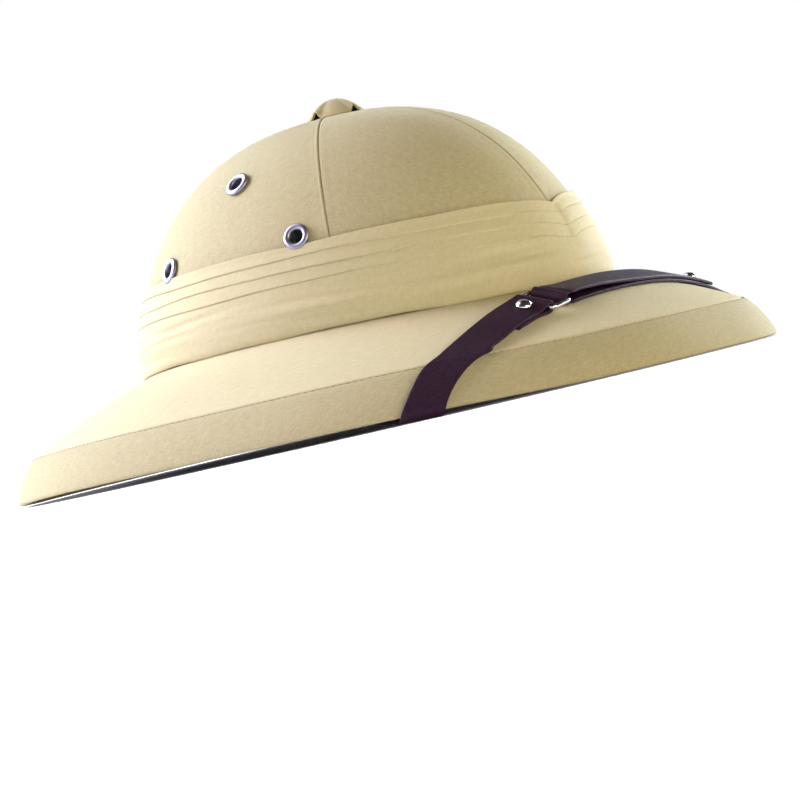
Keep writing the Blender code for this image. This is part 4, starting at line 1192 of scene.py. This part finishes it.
# ---- the ring, the rivets and the hidden pins
ringCorner = 0.0022
halfAcross = strap["width"] / 2 + hat["gap"] + strap["wire"]
path = []
for quarter, (signAlong, signAcross) in enumerate(((1, 1), (1, -1), (-1, -1), (-1, 1))):
    for angle in np.linspace(quarter * np.pi / 2, (quarter + 1) * np.pi / 2, 9):
        path.append((signAlong * (strap["ringHalf"] - ringCorner) + ringCorner * math.sin(angle),
                     signAcross * (halfAcross - ringCorner) + ringCorner * math.cos(angle)))
path = np.array(path + path[:1])
tangent = unit(np.roll(path[:-1], -1, 0) - np.roll(path[:-1], 1, 0))
tangent = np.concatenate([tangent, tangent[:1]])
angles = np.linspace(0, 2 * np.pi, 17)[None, :, None]
sideways = (ringAlong * tangent[:, 1:] - ringAcross * tangent[:, :1])[:, None]
spine = (ringCentre + path[:, :1] * ringAlong + path[:, 1:] * ringAcross)[:, None]
ringPlaces = spine + strap["wire"] * (sideways * np.cos(angles) + ringNormal * np.sin(angles))
strapRing = rolledGrid("strap_ring_metal", ringPlaces)
dress(strapRing, materials["chrome"], "strap_ring", slot="chrome")

rivet = {"head": 0.0034, "rim": 0.0003, "dome": 0.0021, "shank": 0.0011, "steps": 44}
rivetBase, rivetFoot = strap["thickness"] + 0.0001, -strap["thickness"] - hat["gap"]
rivetProfile = [(0, rivetFoot), (rivet["shank"], rivetFoot), (rivet["shank"], rivetBase),
                (rivet["head"] * 0.95, rivetBase), (rivet["head"], rivetBase + rivet["rim"])]
for angle in np.linspace(0.15, np.pi / 2 - 0.12, 10):
    height = rivetBase + rivet["rim"] + (rivet["dome"] - rivet["rim"]) * math.sin(angle)
    rivetProfile.append((rivet["head"] * math.cos(angle), height))
rivetProfile.append((0, rivetBase + rivet["dome"]))
for name, table in (("rivet_near", "nearOuter"), ("rivet_far", "farOuter")):
    before, section, after = (layer(np.array([row[0]]), row[1], row[2])[0] for row in strap[table][-3:])
    place, ahead, behind = ((each[0] + each[3]) / 2 for each in (section, after, before))
    along = Vector(ahead - place).normalized() + Vector(place - behind).normalized()
    facing = along.cross(Vector(section[3] - section[0]))
    turn = (facing if facing.z > 0 else -facing).to_track_quat("Z", "Y")
    head = spun(name + "_metal", rivetProfile, Vector(place), turn, rivet["steps"])
    dress(head, materials["chrome"], name, slot="chrome")

pin = {"tip": 0.0020, "shank": 0.0014, "head": 0.0034, "headDepth": 0.0012, "steps": 32}
seat = -strap["tabDepth"] - strap["thickness"] / 2
pinProfile = [(0, pin["tip"]), (pin["shank"] - 0.0002, pin["tip"]), (pin["shank"], pin["tip"] - 0.0005),
              (pin["shank"], seat), (pin["head"] - 0.0001, seat), (pin["head"], seat - 0.0003),
              (pin["head"] - 0.0004, seat - 0.0008), (0.0018, seat - 0.0011), (0, seat - pin["headDepth"])]
for name, mirror in (("strap_pin_right", -1), ("strap_pin_left", 1)):
    t = np.array(mirror * math.radians(strap["anchorBearing"]))
    place = onCrown(t, strap["tabElevation"], -shell["inside"])
    turn = Vector(surfaceNormal(domePoint, t, strap["tabElevation"], 0.05)).to_track_quat("Z", "Y")
    head = spun(name + "_metal", pinProfile, Vector(place), turn, pin["steps"])
    dress(head, materials["nickel"], name, slot="nickel")
print("ring, rivets and pins done")

# ---- stitching along the top of the turned-down band
stitch = {"count": 330, "length": 0.0021, "radius": 0.00016, "share": 0.985, "lift": 0.00004}
deselectAll()
bpy.ops.mesh.primitive_uv_sphere_add(segments=6, ring_count=5, radius=1)
oneStitch = bpy.context.object
oneStitch.data.transform(Matrix.Diagonal((stitch["length"] / 2, stitch["radius"] * 1.3, stitch["radius"], 1)))
copies = []
for t in np.linspace(0, 2 * np.pi, stitch["count"], endpoint=False):
    before, here, after = (bandPoint(np.array(t + step), stitch["share"]) for step in (-0.004, 0, 0.004))
    along = Vector(after - before).normalized()
    out = Vector(surfaceNormal(bandPoint, np.array(t), 0.98, 0.004))
    turn = Matrix((along, out.cross(along), out)).transposed().to_4x4()
    each = oneStitch.copy()
    each.data = oneStitch.data.copy()
    each.data.transform(Matrix.Translation(Vector(here) + out * stitch["lift"]) @ turn)
    bpy.context.scene.collection.objects.link(each)
    copies.append(each)
bpy.data.objects.remove(oneStitch)
deselectAll()
for each in copies:
    each.select_set(True)
bpy.context.view_layer.objects.active = copies[0]
bpy.ops.object.join()
rimStitches = copies[0]
rimStitches.name = rimStitches.data.name = "rim_stitches"
rimStitches.data.shade_smooth()
dress(rimStitches, materials["thread"], slot="khaki_cloth")
print("stitches done")

# ---- floor, light and camera
view = {
    "fromSide": 35.2, "elevation": -1.8, "roll": 13.08, "distance": 1.6,
    "aim": (0.0, 0.0, 0.07), "aimPixel": (358.7, 266.5), "frame": 800, "lens": 163.4, "sensor": 36.0,
}


def setCamera():
    yaw, tilt, roll = (math.radians(view[key]) for key in ("fromSide", "elevation", "roll"))
    back = Vector((-math.cos(yaw) * math.cos(tilt), -math.sin(yaw) * math.cos(tilt), math.sin(tilt)))
    level = (-back).cross(Vector((0, 0, 1))).normalized()
    lift = level.cross(-back)
    right = math.cos(roll) * level - math.sin(roll) * lift
    up = math.sin(roll) * level + math.cos(roll) * lift
    metresPerPixel = view["distance"] * view["sensor"] / view["lens"] / view["frame"]
    place = Vector(view["aim"]) + back * view["distance"]
    shiftX, shiftY = ((view["frame"] / 2 - pixel) * metresPerPixel for pixel in view["aimPixel"])
    target = Vector(view["aim"]) + right * shiftX - up * shiftY
    toward = (target - place).normalized()
    across = toward.cross(up).normalized()
    data = bpy.data.cameras.new("camera")
    data.lens, data.sensor_width = view["lens"], view["sensor"]
    camera = bpy.data.objects.new("camera", data)
    turn = Matrix((across, across.cross(toward), -toward)).transposed()
    camera.matrix_world = Matrix.Translation(place) @ turn.to_4x4()
    bpy.context.scene.collection.objects.link(camera)
    bpy.context.scene.camera = camera


studio = {
    "floor": (0.88, 0.88, 0.88), "floorSize": 40.0, "floorDrop": 0.0004,
    # the floor's glow is painted light, and its unlit patch under the hat is painted shade
    "glowNear": 0.14, "glowFar": 0.95, "paintedShadeReach": (0.10, 0.17), "glowReach": (0.40, 1.70),
    "horizon": 1.0, "overhead": 0.02, "edge": (0.165, 0.23), "boxSize": 0.7,
    # name, place, power, colour
    "boxes": (
        ("behindRight", (1.269, -0.219, 0.251), 39, (0.83, 0.90, 1.0)),
        ("frontRight", (-0.219, -1.269, 0.251), 12, (1.0, 0.82, 0.54)),
        ("leftSide", (-0.555, 0.953, 0.759), 26, (0.97, 0.79, 1.0)),
        ("behindLeft", (-0.100, 1.098, 0.759), 24, (0.63, 0.86, 1.0)),
        ("high", (-0.055, 0.608, 1.218), 6, (1.0, 0.98, 0.91)),
    ),
}


def addSoftbox(name, place, power, colour):
    data = bpy.data.lights.new(name, "AREA")
    data.shape, data.size, data.energy, data.color = "SQUARE", studio["boxSize"], power, colour
    light = bpy.data.objects.new(name, data)
    light.location = place
    light.rotation_euler = (Vector(view["aim"]) - Vector(place)).to_track_quat("-Z", "Y").to_euler()
    bpy.context.scene.collection.objects.link(light)


def gradeWorld():
    # white all round the horizon, dim overhead
    world = bpy.data.worlds.new("studio")
    world.use_nodes = True
    tree = world.node_tree
    heading = Wire(tree, tree.nodes.new("ShaderNodeTexCoord").outputs["Generated"])
    _, _, height = split(heading)
    strength = studio["horizon"] - height.between(*studio["edge"]) * (studio["horizon"] - studio["overhead"])
    background = tree.nodes["Background"]
    background.inputs["Color"].default_value = (1, 1, 1, 1)
    tree.links.new(strength.socket, background.inputs["Strength"])
    bpy.context.scene.world = world


def floorMaterial():
    # painted light: the sheet glows brighter away from the hat until it meets the white behind it; under the
    # hat it does not glow, a painted shade
    material, tree, shader = newMaterial("glowingFloor", 0.9, **{"Emission Strength": 1.0})
    shader.inputs["Base Color"].default_value = rgb(*studio["floor"])
    place = objectPlace(tree)
    reach = place.node("ShaderNodeVectorMath", {"operation": "LENGTH"}, {0: place}, output="Value")
    glow = reach.between(*studio["paintedShadeReach"]) * studio["glowNear"]
    glow = glow + reach.between(*studio["glowReach"]) * (studio["glowFar"] - studio["glowNear"])
    feed(tree, shader, {"Emission Color": glow.mixColour(rgb(0, 0, 0), rgb(1, 1, 1))})
    return material


def setStudio():
    deselectAll()
    bpy.ops.mesh.primitive_plane_add(size=studio["floorSize"], location=(0, 0, 0))
    floor = bpy.context.object
    floor.name = "studio_floor"
    floor.data.transform(Matrix.Translation((0, 0, -studio["floorDrop"])))
    floor.data.materials.append(floorMaterial())
    gradeWorld()
    for box in studio["boxes"]:
        addSoftbox(*box)


setStudio()
setCamera()
bpy.context.scene.view_settings.view_transform = "Standard"
